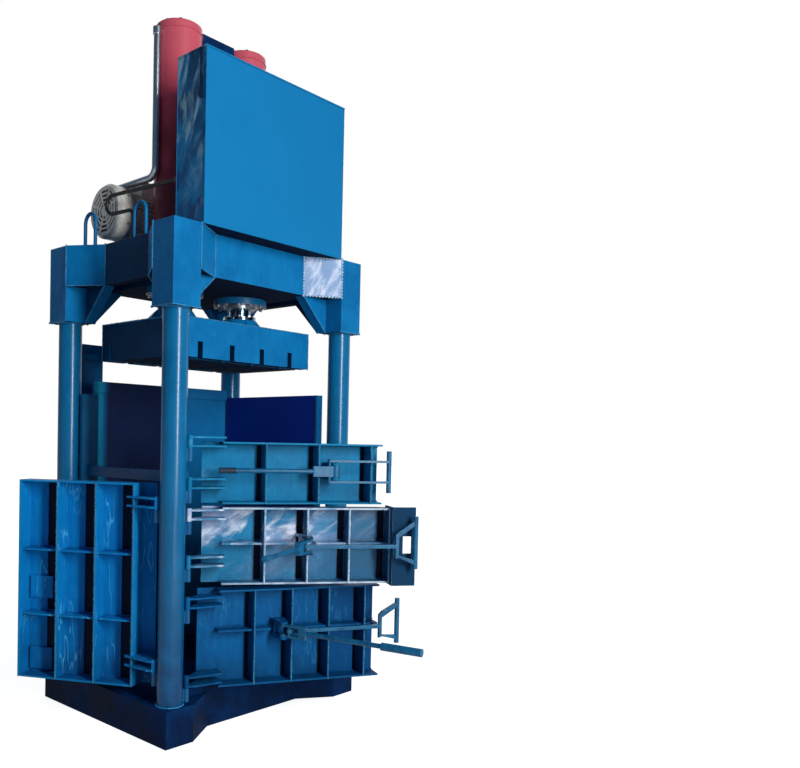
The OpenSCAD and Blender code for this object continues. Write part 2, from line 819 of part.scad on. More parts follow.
module top_latch_link() {
    color(blue) place_link(top_open, top_pivot, top_swing)
        strap_link(top_bar_x - top_pivot[0] + crank_r, top_bar_len);
}
module middle_latch_link() {
    color(blue) place_link(middle_open, middle_pivot, middle_swing)
        yoke_link(middle_bar_x - middle_pivot[0] + crank_r, middle_bar_len, 20);
}
module bottom_latch_link() {
    color(blue) place_link(bottom_open, bottom_pivot, bottom_swing)
        yoke_link(bottom_bar_x - bottom_pivot[0] + crank_r, bottom_bar_len, 28);
}

module platen() {
    color(blue) difference() {
        union() {
            translate([-platen_l / 2, -platen_w / 2, platen_z]) cube([platen_l, platen_w, platen_h]);
            for (sx = [-1, 1]) translate([sx * cyl_x, 0, rod_foot_z]) rod_boss();
        }
        for (x = groove_x) {
            translate([x - groove_w / 2, -platen_w, platen_z - 1])
                cube([groove_w, 2 * platen_w, groove_d + 1]);
        }
        for (s = [-1, 1]) {
            translate([-platen_l, s * cross_groove_y - groove_w / 2, platen_z - 1])
                cube([2 * platen_l, groove_w, groove_d + 1]);
        }
    }
}

// Conical boss with gussets, under each rod
module rod_boss() {
    cylinder(r1 = 165, r2 = 112, h = boss_h - 20);
    cylinder(r = 112, h = boss_h - 20);
    for (a = [0 : 45 : 315]) {
        rotate([0, 0, a + 22.5]) translate([0, 5, 0]) rotate([90, 0, 0]) linear_extrude(10)
            polygon([[100, 0], [196, 0], [118, boss_h - 26], [100, boss_h - 26]]);
    }
}

// Rod, piston and the foot plate bolted to the boss
module rod(sx) {
    foot_z = rod_foot_z + boss_h - 20;
    color(steel) translate([sx * cyl_x, 0, 0]) {
        translate([0, 0, foot_z]) cylinder(r = rod_d / 2 + 36, h = 20);
        translate([0, 0, foot_z + 19]) cylinder(d = rod_d, h = piston_z - foot_z - 18);
        translate([0, 0, piston_z]) cylinder(r = cylinder_bore / 2 - pin_fit, h = piston_h);
    }
}
module rod_left() { rod(-1); }
module rod_right() { rod(1); }

module rod_foot_bolts() {
    color(steel) for (sx = [-1, 1]) {
        translate([sx * cyl_x, 0, rod_foot_z + boss_h]) ring_bolts(8, rod_d + 40, 12, 11);
    }
}

module hydraulic_cylinder(sx) {
    color(red) translate([sx * cyl_x, 0, 0]) difference() {
        union() {
            translate([0, 0, flange_z]) cylinder(d = flange_d, h = flange_t);
            translate([0, 0, flange_z]) cylinder(d = cylinder_d, h = cap_z - flange_z);
        }
        translate([0, 0, flange_z - 1]) cylinder(d = cylinder_bore, h = cap_z - flange_z + 2);
    }
}
module cylinder_left() { hydraulic_cylinder(-1); }
module cylinder_right() { hydraulic_cylinder(1); }

module gland(sx) {
    color(steel) translate([sx * cyl_x, 0, 0]) difference() {
        union() {
            translate([0, 0, gland_z]) cylinder(r = gland_r, h = gland_t);
            translate([0, 0, flange_z - 1]) cylinder(d = cylinder_bore, h = gland_l - gland_t + 1);
        }
        translate([0, 0, gland_z - 1]) cylinder(r = rod_d / 2 + pin_fit, h = gland_l + 2);
    }
}
module glands() {
    gland(-1);
    gland(1);
}

module end_caps() {
    color(red) for (sx = [-1, 1]) translate([sx * cyl_x, 0, cap_z]) {
        cylinder(d = cylinder_d, h = cap_t - 6);
        translate([0, 0, cap_t - 7]) cylinder(r1 = cylinder_d / 2, r2 = cylinder_d / 2 - 7, h = 7);
    }
}

module flange_bolts() {
    color(steel) for (sx = [-1, 1]) {
        translate([sx * cyl_x, 0, flange_z - 14]) ring_bolts(12, flange_d - 34, 12, 14, 15);
    }
}

// Steel block that joins the ports of both cylinders at the top
module port_block() {
    half = cyl_x - cylinder_d / 2 + 3;
    color(dark_blue) difference() {
        translate([-half, -52, cylinder_top - 84]) cube([2 * half, 104, 90]);
        for (sx = [-1, 1]) translate([sx * cyl_x, 0, cap_z - 100]) cylinder(d = cylinder_d, h = 200);
    }
}

module oil_tank() {
    color(blue) {
        difference() {
            translate([-tank_l / 2, tank_y, frame_h]) cube([tank_l, tank_w, tank_h]);
            translate([-tank_l / 2 + tank_wall, tank_y + tank_wall, frame_h + tank_wall])
                cube([tank_l - 2 * tank_wall, tank_w - 2 * tank_wall, tank_h - 2 * tank_wall]);
        }
        // Rolled edge under the lid
        difference() {
            translate([-tank_l / 2 - 3, tank_y - 3, tank_top - 9]) cube([tank_l + 6, tank_w + 6, 9]);
            translate([-tank_l / 2 + 4, tank_y + 4, tank_top - 10]) cube([tank_l - 8, tank_w - 8, 12]);
        }
    }
}

module level_gauge() {
    gauge_y = tank_y + 34;
    color(black) {
        for (dz = [0, gauge_l]) translate([-tank_l / 2 - 14, gauge_y - 12, tank_top - gauge_drop + dz])
            cube([14, 24, 26]);
        translate([-tank_l / 2 - 10, gauge_y - 8, tank_top - gauge_drop + 22]) cube([10, 16, gauge_l - 18]);
    }
}

module filler_cap() {
    color(black) translate([tank_l / 2 - 150, tank_y + tank_w / 2, tank_top]) {
        cylinder(d = 62, h = 8);
        translate([0, 0, 8]) cylinder(d = 44, h = 14);
        translate([0, 0, 22]) cylinder(d = 76, h = 26);
    }
}

module drain_plug() {
    color(steel) translate([tank_l / 2, tank_y + tank_w / 2 + 40, frame_h + 60]) rotate([0, 90, 0]) {
        cylinder(r = 22, h = 10);
        translate([0, 0, 9]) cylinder(r = 15, h = 12, $fn = 6);
    }
}

module along_motor() {
    translate([motor_x0, motor_y, motor_z]) rotate([0, 90, 0]) children();
}

module motor_body() {
    fins = 28;
    core_r = motor_d / 2 - 22;
    color(motor_grey) {
        difference() {
            along_motor() union() {
                translate([0, 0, 40]) cylinder(r = core_r, h = motor_l - 80);
                translate([0, 0, 0]) cylinder(r = motor_d / 2 - 12, h = 41);
                translate([0, 0, motor_l - 41]) cylinder(r = motor_d / 2 - 12, h = 41);
                for (i = [0 : fins - 1]) {
                    rotate([0, 0, i * 360 / fins]) translate([core_r - 3, -2, 40])
                        cube([25, 4, motor_l - 80]);
                }
            }
            along_motor() translate([0, 0, -1]) cylinder(r = shaft_r + pin_fit, h = motor_l + 2);
        }
        // Pad for the terminal box
        translate([motor_x0 + 130, motor_y - 66, motor_z + core_r - 12])
            cube([150, 132, motor_d / 2 - core_r + 14]);
        for (dx = [60, motor_l - 120]) {
            for (s = [-1, 1]) translate([motor_x0 + dx, motor_y + s * 105 - 30, frame_h])
                cube([60, 60, 18]);
            translate([motor_x0 + dx + 20, motor_y - 120, frame_h + 10])
                cube([20, 240, motor_h - core_r - 6]);
        }
    }
}

module fan_cowl() {
    color(motor_grey) along_motor() translate([0, 0, -cowl_l]) difference() {
        union() {
            cylinder(r1 = cowl_d / 2 - 16, r2 = cowl_d / 2, h = 22);
            translate([0, 0, 21]) cylinder(d = cowl_d, h = cowl_l - 21);
        }
        translate([0, 0, 5]) cylinder(r = cowl_d / 2 - 20, h = cowl_l - 11);
        translate([0, 0, cowl_l - 7]) cylinder(r = shaft_r + 4, h = 10);
        // Air slots in rings round the centre
        for (r = [40, 66, 92, 118], a = [0 : 45 : 315]) {
            rotate([0, 0, a]) translate([r, 0, -1]) linear_extrude(8)
                polygon([[-7, -r * 0.32], [7, -r * 0.32 - 4], [7, r * 0.32 + 4], [-7, r * 0.32]]);
        }
    }
}

module motor_rotor() {
    color(steel) along_motor() {
        translate([0, 0, -cowl_l + 26]) cylinder(r = shaft_r, h = motor_l + cowl_l + 30);
        translate([0, 0, -cowl_l + 24]) cylinder(r = hub_r, h = fan_l + 4);
        for (i = [0 : 6]) {
            rotate([0, 0, i * 360 / 7]) translate([hub_r - 4, -2, -cowl_l + 26])
                cube([fan_r - hub_r + 4, 4, fan_l]);
        }
    }
}

module terminal_box() {
    color(motor_grey) translate([motor_x0 + 140, motor_y - 60, motor_z + motor_d / 2 + 2]) {
        cube([130, 120, 66]);
        translate([-5, -5, 65]) cube([140, 130, 10]);
    }
}

module bell_housing() {
    color(motor_grey) difference() {
        union() {
            translate([motor_x0 + motor_l, motor_y, motor_z]) rotate([0, 90, 0])
                cylinder(r = motor_d / 2 - 14, h = 16);
            translate([motor_x0 + motor_l + 15, motor_y, motor_z]) rotate([0, 90, 0])
                cylinder(r1 = 112, r2 = 84, h = 92);
        }
        translate([motor_x0 + motor_l - 1, motor_y, motor_z]) rotate([0, 90, 0]) cylinder(r = 50, h = 92);
    }
}

module pump() {
    x0 = pump_x;
    color(dark_blue) translate([x0, motor_y, motor_z]) {
        rotate([0, 90, 0]) cylinder(r = 78, h = 16);
        translate([15, -58, -68]) cube([120, 116, 136]);
        translate([134, -48, -56]) cube([18, 96, 112]);
        translate([75, 58, 0]) rotate([-90, 0, 0]) cylinder(r = 26, h = 12);
        translate([75, -70, 0]) rotate([-90, 0, 0]) cylinder(r = 30, h = 12.5);
    }
    color(dark_blue) translate([x0 + 30, motor_y - 70, frame_h]) cube([90, 140, 20]);
    color(dark_blue) translate([x0 + 55, motor_y - 30, frame_h + 19]) cube([40, 60, motor_h - 86]);
}

module valve_block() {
    color(steel) translate([345, motor_y - 90, frame_h]) {
        cube([150, 180, 120]);
        for (y = [22, 102]) {
            translate([-52, y + 4, 118]) cube([250, 48, 50]);
            translate([12, y, 120]) cube([126, 56, 58]);
        }
        translate([75, 90, 119]) cylinder(r = 9, h = 76);
    }
}

// Quarter bend from +X to +Y round the origin
module elbow(r, bend) {
    rotate_extrude(angle = 90) translate([bend, 0]) circle(r = r);
}

module pressure_pipe() {
    r = pipe_d / 2;
    bend = 60;
    top_z = cap_z - 46;
    run_y = motor_y + 70 + bend;
    drop_x = pump_x + 75;
    color(steel) {
        // Elbow block at the cylinder port and the long drop beside the tube
        translate([pipe_x, 0, run_z + bend]) cylinder(r = r, h = top_z - run_z - bend);
        difference() {
            union() {
                translate([pipe_x, 0, top_z - 1]) cylinder(r = r + 6, h = 40);
                translate([pipe_x, 0, top_z + 20]) rotate([0, 90, 0]) cylinder(r = 13, h = 40);
            }
            translate([-cyl_x, 0, cap_z - 100]) cylinder(d = cylinder_d, h = 200);
        }
        // Run towards the back, run along the motor and drop to the pump
        translate([pipe_x, bend, run_z + bend]) rotate([0, 90, 0]) rotate([0, 0, -90]) elbow(r, bend);
        translate([pipe_x, bend, run_z]) rotate([-90, 0, 0]) cylinder(r = r, h = run_y - 2 * bend);
        translate([pipe_x + bend, run_y - bend, run_z]) rotate([0, 0, 90]) elbow(r, bend);
        translate([pipe_x + bend, run_y, run_z]) rotate([0, 90, 0])
            cylinder(r = r, h = drop_x - pipe_x - 2 * bend);
        translate([drop_x - bend, run_y, run_z - bend]) rotate([90, 0, 0]) elbow(r, bend);
        translate([drop_x, run_y, motor_z + bend]) cylinder(r = r, h = run_z - motor_z - 2 * bend);
        translate([drop_x, run_y - bend, motor_z + bend]) rotate([0, 90, 0]) elbow(r, bend);
    }
}

// Hose from the tank that turns back in front of the motor and ends on the crosshead
module return_hose() {
    r = hose_r;
    bend = hose_bend;
    reach = hose_reach;
    back = hose_back;
    small = hose_small_bend;
    low = motor_z + 57 - 2 * bend;
    color(black) translate([hose_x, tank_y + tank_w, 0]) rotate([0, 0, hose_turn]) {
        translate([0, 4, low + 2 * bend]) rotate([-90, 0, 0]) cylinder(r = r, h = reach - 4);
        translate([0, 3, low + 2 * bend]) rotate([-90, 0, 0]) cylinder(r = r + 6, h = 34, $fn = 6);
        translate([0, reach, low + bend]) rotate([0, 90, 0]) elbow(r, bend);
        translate([0, reach, low + bend]) rotate([0, 90, 0]) rotate([0, 0, 90]) elbow(r, bend);
        translate([0, back, low]) rotate([-90, 0, 0]) cylinder(r = r, h = reach - back);
        translate([0, back, low - small]) rotate([0, 90, 0]) rotate([0, 0, 180]) elbow(r, small);
        translate([0, back - small, frame_h + 20]) cylinder(r = r, h = low - small - frame_h - 20);
        translate([0, back - small, frame_h]) cylinder(r = r + 6, h = 40, $fn = 6);
    }
}

module suction_hose() {
    y0 = tank_y + tank_w;
    color(black) translate([pump_x + 75, y0, motor_z]) rotate([-90, 0, 0])
        cylinder(r = suction_r, h = motor_y - 70 - y0);
}

module control_box() {
    color(blue) {
        difference() {
            translate([box_x - box_w / 2, box_y, box_z]) cube([box_w, box_d, box_h]);
            translate([box_x - box_w / 2 + box_wall, box_y + box_wall, box_z + box_wall])
                cube([box_w - 2 * box_wall, box_d, box_h - 2 * box_wall]);
        }
        for (z = [60, box_h - 100]) {
            difference() {
                translate([-col_x, box_y - 40, box_z + z]) cube([col_x + box_x + box_w / 2 - 60, 40.5, 40]);
                translate([-col_x, col_y, 0]) cylinder(d = column_d, h = frame_h);
            }
        }
    }
}

door_y = box_y + box_d + 0.3;
button_x = box_x + 40;
start_z = box_z + 360;
stop_z = box_z + 290;
button_r = 15;

module control_door() {
    hinge_x = box_x - box_w / 2;
    color(blue) difference() {
        union() {
            translate([hinge_x, door_y, box_z]) cube([box_w, box_wall, box_h]);
            for (z = [50, box_h - 110]) translate([hinge_x, door_y + box_wall, box_z + z])
                cylinder(r = box_wall, h = 60);
            for (z = [start_z, stop_z]) {
                translate([button_x, door_y + box_wall - 0.5, z]) rotate([-90, 0, 0])
                    cylinder(r = 22, h = 8);
            }
            translate([box_x + box_w / 2 - 34, door_y + box_wall - 0.5, box_z + 236]) rotate([-90, 0, 0])
                cylinder(r = 12, h = 14);
        }
        for (z = [start_z, stop_z]) {
            translate([button_x, door_y - 1, z]) rotate([-90, 0, 0])
                cylinder(r = button_r + pin_fit, h = 20);
        }
    }
}

module push_button(z) {
    translate([button_x, door_y - 10, z]) rotate([-90, 0, 0])
        cylinder(r = button_r, h = box_wall + 8 + 10 + button_travel + 2);
}
module start_button() { color([0.1, 0.5, 0.2]) push_button(start_z); }
module stop_button() { color([0.75, 0.1, 0.1]) push_button(stop_z); }

base_frame();
chamber_floor();
column_front_left();
column_front_right();
column_back_left();
column_back_right();
crosshead();
lifting_loops();
back_wall();
right_wall();
feed_frame();
latch_keepers();
column_knuckles();
hinge_pins();
side_door();
top_door();
middle_door();
bottom_door();
side_door_liner();
top_door_liner();
middle_door_liner();
bottom_door_liner();
top_pivot_pin();
middle_pivot_pin();
bottom_pivot_pin();
top_handle();
top_grip();
middle_handle();
bottom_handle();
top_latch_link();
middle_latch_link();
bottom_latch_link();
platen();
rod_left();
rod_right();
rod_foot_bolts();
cylinder_left();
cylinder_right();
glands();
end_caps();
flange_bolts();
port_block();
oil_tank();
level_gauge();
filler_cap();
drain_plug();
motor_body();
fan_cowl();
motor_rotor();
terminal_box();
bell_housing();
pump();
valve_block();
pressure_pipe();
return_hose();
suction_hose();
control_box();
control_door();
start_button();
stop_button();
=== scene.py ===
import math
import bpy
from mathutils import Matrix, Vector


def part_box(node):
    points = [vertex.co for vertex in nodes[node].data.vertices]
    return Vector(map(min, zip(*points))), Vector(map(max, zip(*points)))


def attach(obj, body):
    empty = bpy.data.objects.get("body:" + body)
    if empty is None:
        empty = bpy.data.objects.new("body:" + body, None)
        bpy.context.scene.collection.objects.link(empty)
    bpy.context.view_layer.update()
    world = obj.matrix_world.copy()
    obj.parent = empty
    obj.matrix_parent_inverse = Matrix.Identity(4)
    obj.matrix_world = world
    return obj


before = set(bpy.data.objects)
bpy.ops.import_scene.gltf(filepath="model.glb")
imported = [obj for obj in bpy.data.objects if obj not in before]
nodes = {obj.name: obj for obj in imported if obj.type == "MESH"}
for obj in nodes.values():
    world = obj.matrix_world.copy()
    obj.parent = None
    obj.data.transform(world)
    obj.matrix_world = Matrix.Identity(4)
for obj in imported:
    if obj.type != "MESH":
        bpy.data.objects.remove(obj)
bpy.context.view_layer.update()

scene = bpy.context.scene
scene.view_settings.view_transform = "Standard"
print("frame loaded,", len(nodes), "CAD nodes")

# The machine's own measures, in metres
machine = {
    "columnX": 0.66, "columnY": 0.525, "columnRadius": 0.07, "sleeveHalf": 0.091,
    "webX": 0.618, "webY": 0.483, "webHalfX": 0.36, "webHalfY": 0.22,
    "crossheadTop": 2.77, "beamLow": 2.53, "sleeveLow": 2.32, "footTop": 0.2,
    "hingeReach": 0.087, "frontHingeTurn": -37, "sideHingeTurn": 130, "frontFace": -0.45, "sideFace": -0.558,
    "doorPlate": 0.012, "cylinderX": 0.265, "motorY": 0.335, "motorZ": 3.0,
}


# Each door in its own frame: along from the hinge, out from the hinge axis, true height
def hingePlace(degrees):
    turn = math.radians(degrees)
    return (-machine["columnX"] + machine["hingeReach"] * math.cos(turn),
            -machine["columnY"] + machine["hingeReach"] * math.sin(turn))


frontHinge, sideHinge = hingePlace(machine["frontHingeTurn"]), hingePlace(machine["sideHingeTurn"])
frontSkin = machine["frontFace"] - frontHinge[1] - machine["doorPlate"]
sideSkin = machine["sideFace"] - sideHinge[0] - machine["doorPlate"]
doors = {
    "top": {"open": 33, "low": 1.275, "height": 0.338, "length": 1.087, "skin": frontSkin,
        "flangeStart": 0.18,
            "slots": [0.3523, 0.6265, 0.9062], "ribGap": 0.030, "mids": []},
    "middle": {"open": 36, "low": 0.838, "height": 0.42, "length": 1.13, "skin": frontSkin,
        "flangeStart": 0.18,
               "slots": [0.3239, 0.5345, 0.7434, 0.9496], "ribGap": 0.042,
               "mids": [(0.22, 0.18, 0.583), (0.22, 0.703, 1.13)]},
    "bottom": {"open": 28, "low": 0.272, "height": 0.53, "length": 1.126, "skin": frontSkin,
        "flangeStart": 0.18,
               "slots": [0.3091, 0.5018, 0.6972, 0.8917], "ribGap": 0.026,
               "mids": [(0.3, 0.18, 0.478), (0.3, 0.598, 1.126)]},
    "side": {"open": 30, "low": 0.264, "height": 1.114, "length": 0.851, "skin": sideSkin,
        "flangeStart": 0.15,
             "slots": [0.248, 0.5147, 0.7885], "ribGap": -0.061,
             "mids": [(0.355, 0.15, 0.851), (0.721, 0.15, 0.851)]},
}
ribDepth = 0.1
ribThickness = 0.01


def doorPoint(name, along, out, z):
    door = doors[name]
    if name == "side":
        turn = math.radians(door["open"] + 90)
        return (sideHinge[0] + along * math.cos(turn) + out * math.sin(turn),
                sideHinge[1] + along * math.sin(turn) - out * math.cos(turn), z)
    turn = math.radians(-door["open"])
    return (frontHinge[0] + along * math.cos(turn) - out * math.sin(turn),
            frontHinge[1] + along * math.sin(turn) + out * math.cos(turn), z)


# Node building
def addNode(tree, kind, settings=None, values=None):
    node = tree.nodes.new(kind)
    for key, value in (settings or {}).items():
        setattr(node, key, value)
    for key, value in (values or {}).items():
        if isinstance(value, bpy.types.NodeSocket):
            tree.links.new(value, node.inputs[key])
        else:
            node.inputs[key].default_value = value
    return node


def firstOf(tree, kind, values=None, settings=None):
    return addNode(tree, kind, settings, values).outputs[0]


def newGroup(name, takes, gives, kind="ShaderNodeTree"):
    group = bpy.data.node_groups.new(name, kind)
    for label, socketType, start in takes:
        socket = group.interface.new_socket(name=label, in_out="INPUT", socket_type=socketType)
        if start is not None:
            socket.default_value = start
    for label, socketType in gives:
        group.interface.new_socket(name=label, in_out="OUTPUT", socket_type=socketType)
    return group, group.nodes.new("NodeGroupInput").outputs, group.nodes.new("NodeGroupOutput").inputs


def useGroup(tree, group, values):
    return addNode(tree, "ShaderNodeGroup", {"node_tree": group}, values).outputs


def calc(tree, operation, first, second=0.5, clamp=False):
    return firstOf(tree, "ShaderNodeMath", {0: first, 1: second},
            {"operation": operation, "use_clamp": clamp})


def mixColor(tree, factor, first, second, blend="MIX"):
    return addNode(tree, "ShaderNodeMix", {"data_type": "RGBA", "blend_type": blend},
            {0: factor, 6: first, 7: second}).outputs[2]


def remap(tree, value, low, high, newLow=0.0, newHigh=1.0, smooth=False):
    return firstOf(tree, "ShaderNodeMapRange", {0: value, 1: low, 2: high, 3: newLow, 4: newHigh},
            {"interpolation_type": "SMOOTHSTEP" if smooth else "LINEAR"})


def noise(tree, values):
    settings = {"noise_dimensions": "4D"} if "W" in values else None
    return firstOf(tree, "ShaderNodeTexNoise", values, settings)


def dot(tree, first, second):
    return addNode(tree, "ShaderNodeVectorMath", {"operation": "DOT_PRODUCT"},
            {0: first, 1: second}).outputs["Value"]


def axesOf(tree, vector):
    return addNode(tree, "ShaderNodeSeparateXYZ", None, {0: vector}).outputs


def objectPlace(tree):
    return addNode(tree, "ShaderNodeTexCoord").outputs["Object"]


def rgba(color):
    return (*color, 1.0)


floatSocket, colorSocket, vectorSocket = "NodeSocketFloat", "NodeSocketColor", "NodeSocketVector"

# Paint put on by brush: soft blotches, pale thin places and long strokes
brushedPaint, given, result = newGroup(
    "brushedPaint",
    [("Base", colorSocket, None), ("Deep", colorSocket, None), ("Pale", colorSocket, None),
     ("Blotch Scale", floatSocket, 3.0), ("Blotch Amount", floatSocket, 0.5), ("Pale Amount", floatSocket, 0.3),
     ("Pale Spread", floatSocket, 0.2), ("Stroke Scale", floatSocket, 90.0), ("Stroke Depth", floatSocket, 0.09),
     ("Shift", floatSocket, 0.0)],
    [("Color", colorSocket), ("Height", floatSocket), ("Gloss", floatSocket)])
tree = brushedPaint
where = objectPlace(tree)
blotch = noise(tree, {"Vector": where, "W": given["Shift"], "Scale": given["Blotch Scale"], "Detail": 4.0,
        "Roughness": 0.6})
fineScale = calc(tree, "MULTIPLY", given["Blotch Scale"], 5.3)
thin = noise(tree, {"Vector": where, "W": given["Shift"], "Scale": fineScale, "Detail": 5.0,
        "Roughness": 0.65})
stretch = firstOf(tree, "ShaderNodeMapping", {"Vector": where, "Scale": (1.0, 1.0, 0.08)})
stroke = noise(tree, {"Vector": stretch, "Scale": given["Stroke Scale"], "Detail": 2.0, "Roughness": 0.5})
deepMask = calc(tree, "MULTIPLY", remap(tree, blotch, 0.56, 0.40), given["Blotch Amount"])
paleEnd = calc(tree, "ADD", given["Pale Spread"], 0.51)
paleMask = calc(tree, "MULTIPLY", remap(tree, thin, 0.51, paleEnd), given["Pale Amount"])
coat = mixColor(tree, deepMask, given["Base"], given["Deep"])
coat = mixColor(tree, paleMask, coat, given["Pale"])
shadeOfStroke = remap(tree, stroke, 0.3, 0.7, calc(tree, "SUBTRACT", 1.0, given["Stroke Depth"]),
    calc(tree, "ADD", 1.0, given["Stroke Depth"]))
strokeGrey = addNode(tree, "ShaderNodeCombineColor", None,
    {0: shadeOfStroke, 1: shadeOfStroke, 2: shadeOfStroke})
coat = mixColor(tree, 1.0, coat, strokeGrey.outputs[0], "MULTIPLY")
tree.links.new(coat, result["Color"])
height = calc(tree, "ADD", calc(tree, "MULTIPLY", stroke, 0.5), calc(tree, "MULTIPLY", thin, 0.8))
tree.links.new(height, result["Height"])
tree.links.new(blotch, result["Gloss"])

# Corners of the steel, broken up by noise: paint rubbed off, and painted highlight along the edges
edgeWearAndHighlight, given, result = newGroup(
    "edgeWearAndHighlight",
    [("Reach", floatSocket, 0.006), ("Amount", floatSocket, 0.6), ("Grain", floatSocket, 30.0)],
    [("Mask", floatSocket)])
tree = edgeWearAndHighlight
rounded = firstOf(tree, "ShaderNodeBevel", {"Radius": given["Reach"]}, {"samples": 4})
straight = addNode(tree, "ShaderNodeNewGeometry").outputs["Normal"]
likeness = dot(tree, rounded, straight)
corner = remap(tree, likeness, 0.99, 0.86)
where = objectPlace(tree)
grain = noise(tree, {"Vector": where, "Scale": given["Grain"], "Detail": 4.0})
broken = calc(tree, "MULTIPLY", corner, remap(tree, grain, 0.38, 0.60))
tree.links.new(calc(tree, "MULTIPLY", broken, given["Amount"], True), result["Mask"])

# Dust and soiling, and painted shade: darker towards the bottom, fading out between two heights
grimeAndShade, given, result = newGroup(
    "grimeAndShade",
    [("Low", floatSocket, 0.0), ("High", floatSocket, 1.0), ("Amount", floatSocket, 0.5),
        ("Scale", floatSocket, 7.0)],
    [("Mask", floatSocket)])
tree = grimeAndShade
where = objectPlace(tree)
upward = axesOf(tree, where)["Z"]
fade = remap(tree, upward, given["High"], given["Low"], smooth=True)
cloud = noise(tree, {"Vector": where, "Scale": given["Scale"], "Detail": 5.0})
dirtyAndShaded = calc(tree, "MULTIPLY", fade, remap(tree, cloud, 0.30, 0.62, 0.35, 1.0))
tree.links.new(calc(tree, "MULTIPLY", dirtyAndShaded, given["Amount"], True), result["Mask"])

# Painted highlight along the outer edges of ribs and flanges on a door, from the distance to the door plate
ribEdgeHighlight, given, result = newGroup(
    "ribEdgeHighlight",
    [("Turn", vectorSocket, (0.0, 0.0, 0.0)), ("Origin", vectorSocket, (0.0, 0.0, 0.0)),
     ("Inside", floatSocket, 0.03), ("Edge", floatSocket, 0.02), ("Outside", floatSocket, 0.01),
     ("Amount", floatSocket, 1.0)],
    [("Mask", floatSocket)])
tree = ribEdgeHighlight
where = objectPlace(tree)
local = firstOf(tree, "ShaderNodeMapping", {"Vector": where, "Location": given["Origin"],
        "Rotation": given["Turn"]}, {"vector_type": "POINT"})
outward = axesOf(tree, local)["Y"]
nearEdge = calc(tree, "MULTIPLY", remap(tree, outward, given["Inside"], given["Edge"]),
    remap(tree, outward, given["Outside"], given["Edge"]))
patch = noise(tree, {"Vector": where, "Scale": 14.0, "Detail": 4.0})
edgeMask = calc(tree, "MULTIPLY", nearEdge, remap(tree, patch, 0.30, 0.55, 0.25, 1.0))
tree.links.new(calc(tree, "MULTIPLY", edgeMask, given["Amount"], True), result["Mask"])

# Broad soft patches drawn out along a slant: painted reflections, light and dark, and scuffs on the door liners
palePatch, given, result = newGroup(
    "palePatch",
    [("Turn", vectorSocket, (0.0, 0.0, 0.0)), ("Stretch", vectorSocket, (2.0, 1.0, 1.0)),
     ("Scale", floatSocket, 6.0), ("Low", floatSocket, 0.48), ("High", floatSocket, 0.62),
     ("Shift", floatSocket, 0.0), ("Amount", floatSocket, 0.8)],
    [("Mask", floatSocket)])
tree = palePatch
where = objectPlace(tree)
slanted = firstOf(tree, "ShaderNodeMapping", {"Vector": where, "Rotation": given["Turn"],
        "Scale": given["Stretch"]}, {"vector_type": "TEXTURE"})
cloud = noise(tree, {"Vector": slanted, "W": given["Shift"], "Scale": given["Scale"], "Detail": 6.0,
        "Roughness": 0.6, "Distortion": 0.5})
soft = remap(tree, cloud, given["Low"], given["High"], smooth=True)
tree.links.new(calc(tree, "MULTIPLY", soft, given["Amount"], True), result["Mask"])

# Painted highlights: thin wandering pale lines down a plate
paleLineHighlights, given, result = newGroup(
    "paleLineHighlights",
    [("Turn", vectorSocket, (0.0, 0.0, 0.0)), ("Scale", floatSocket, 9.0), ("Width", floatSocket, 0.012),
     ("Shift", floatSocket, 0.0), ("Amount", floatSocket, 0.7)],
    [("Mask", floatSocket)])
tree = paleLineHighlights
where = objectPlace(tree)
upright = firstOf(tree, "ShaderNodeMapping", {"Vector": where, "Rotation": given["Turn"],
        "Scale": (1.0, 1.0, 5.0)}, {"vector_type": "TEXTURE"})
swirl = noise(tree, {"Vector": upright, "W": given["Shift"], "Scale": given["Scale"], "Detail": 3.0,
        "Roughness": 0.55})
offLine = calc(tree, "ABSOLUTE", calc(tree, "SUBTRACT", swirl, 0.5))
line = remap(tree, offLine, given["Width"], 0.0, smooth=True)
here = noise(tree, {"Vector": where, "W": given["Shift"], "Scale": 5.0, "Detail": 3.0})
shown = calc(tree, "MULTIPLY", line, remap(tree, here, 0.46, 0.60))
tree.links.new(calc(tree, "MULTIPLY", shown, given["Amount"], True), result["Mask"])
print("shader groups ready")


def startMaterial(name):
    material = bpy.data.materials.new(name)
    material.use_nodes = True
    tree = material.node_tree
    return material, tree, tree.nodes["Principled BSDF"]


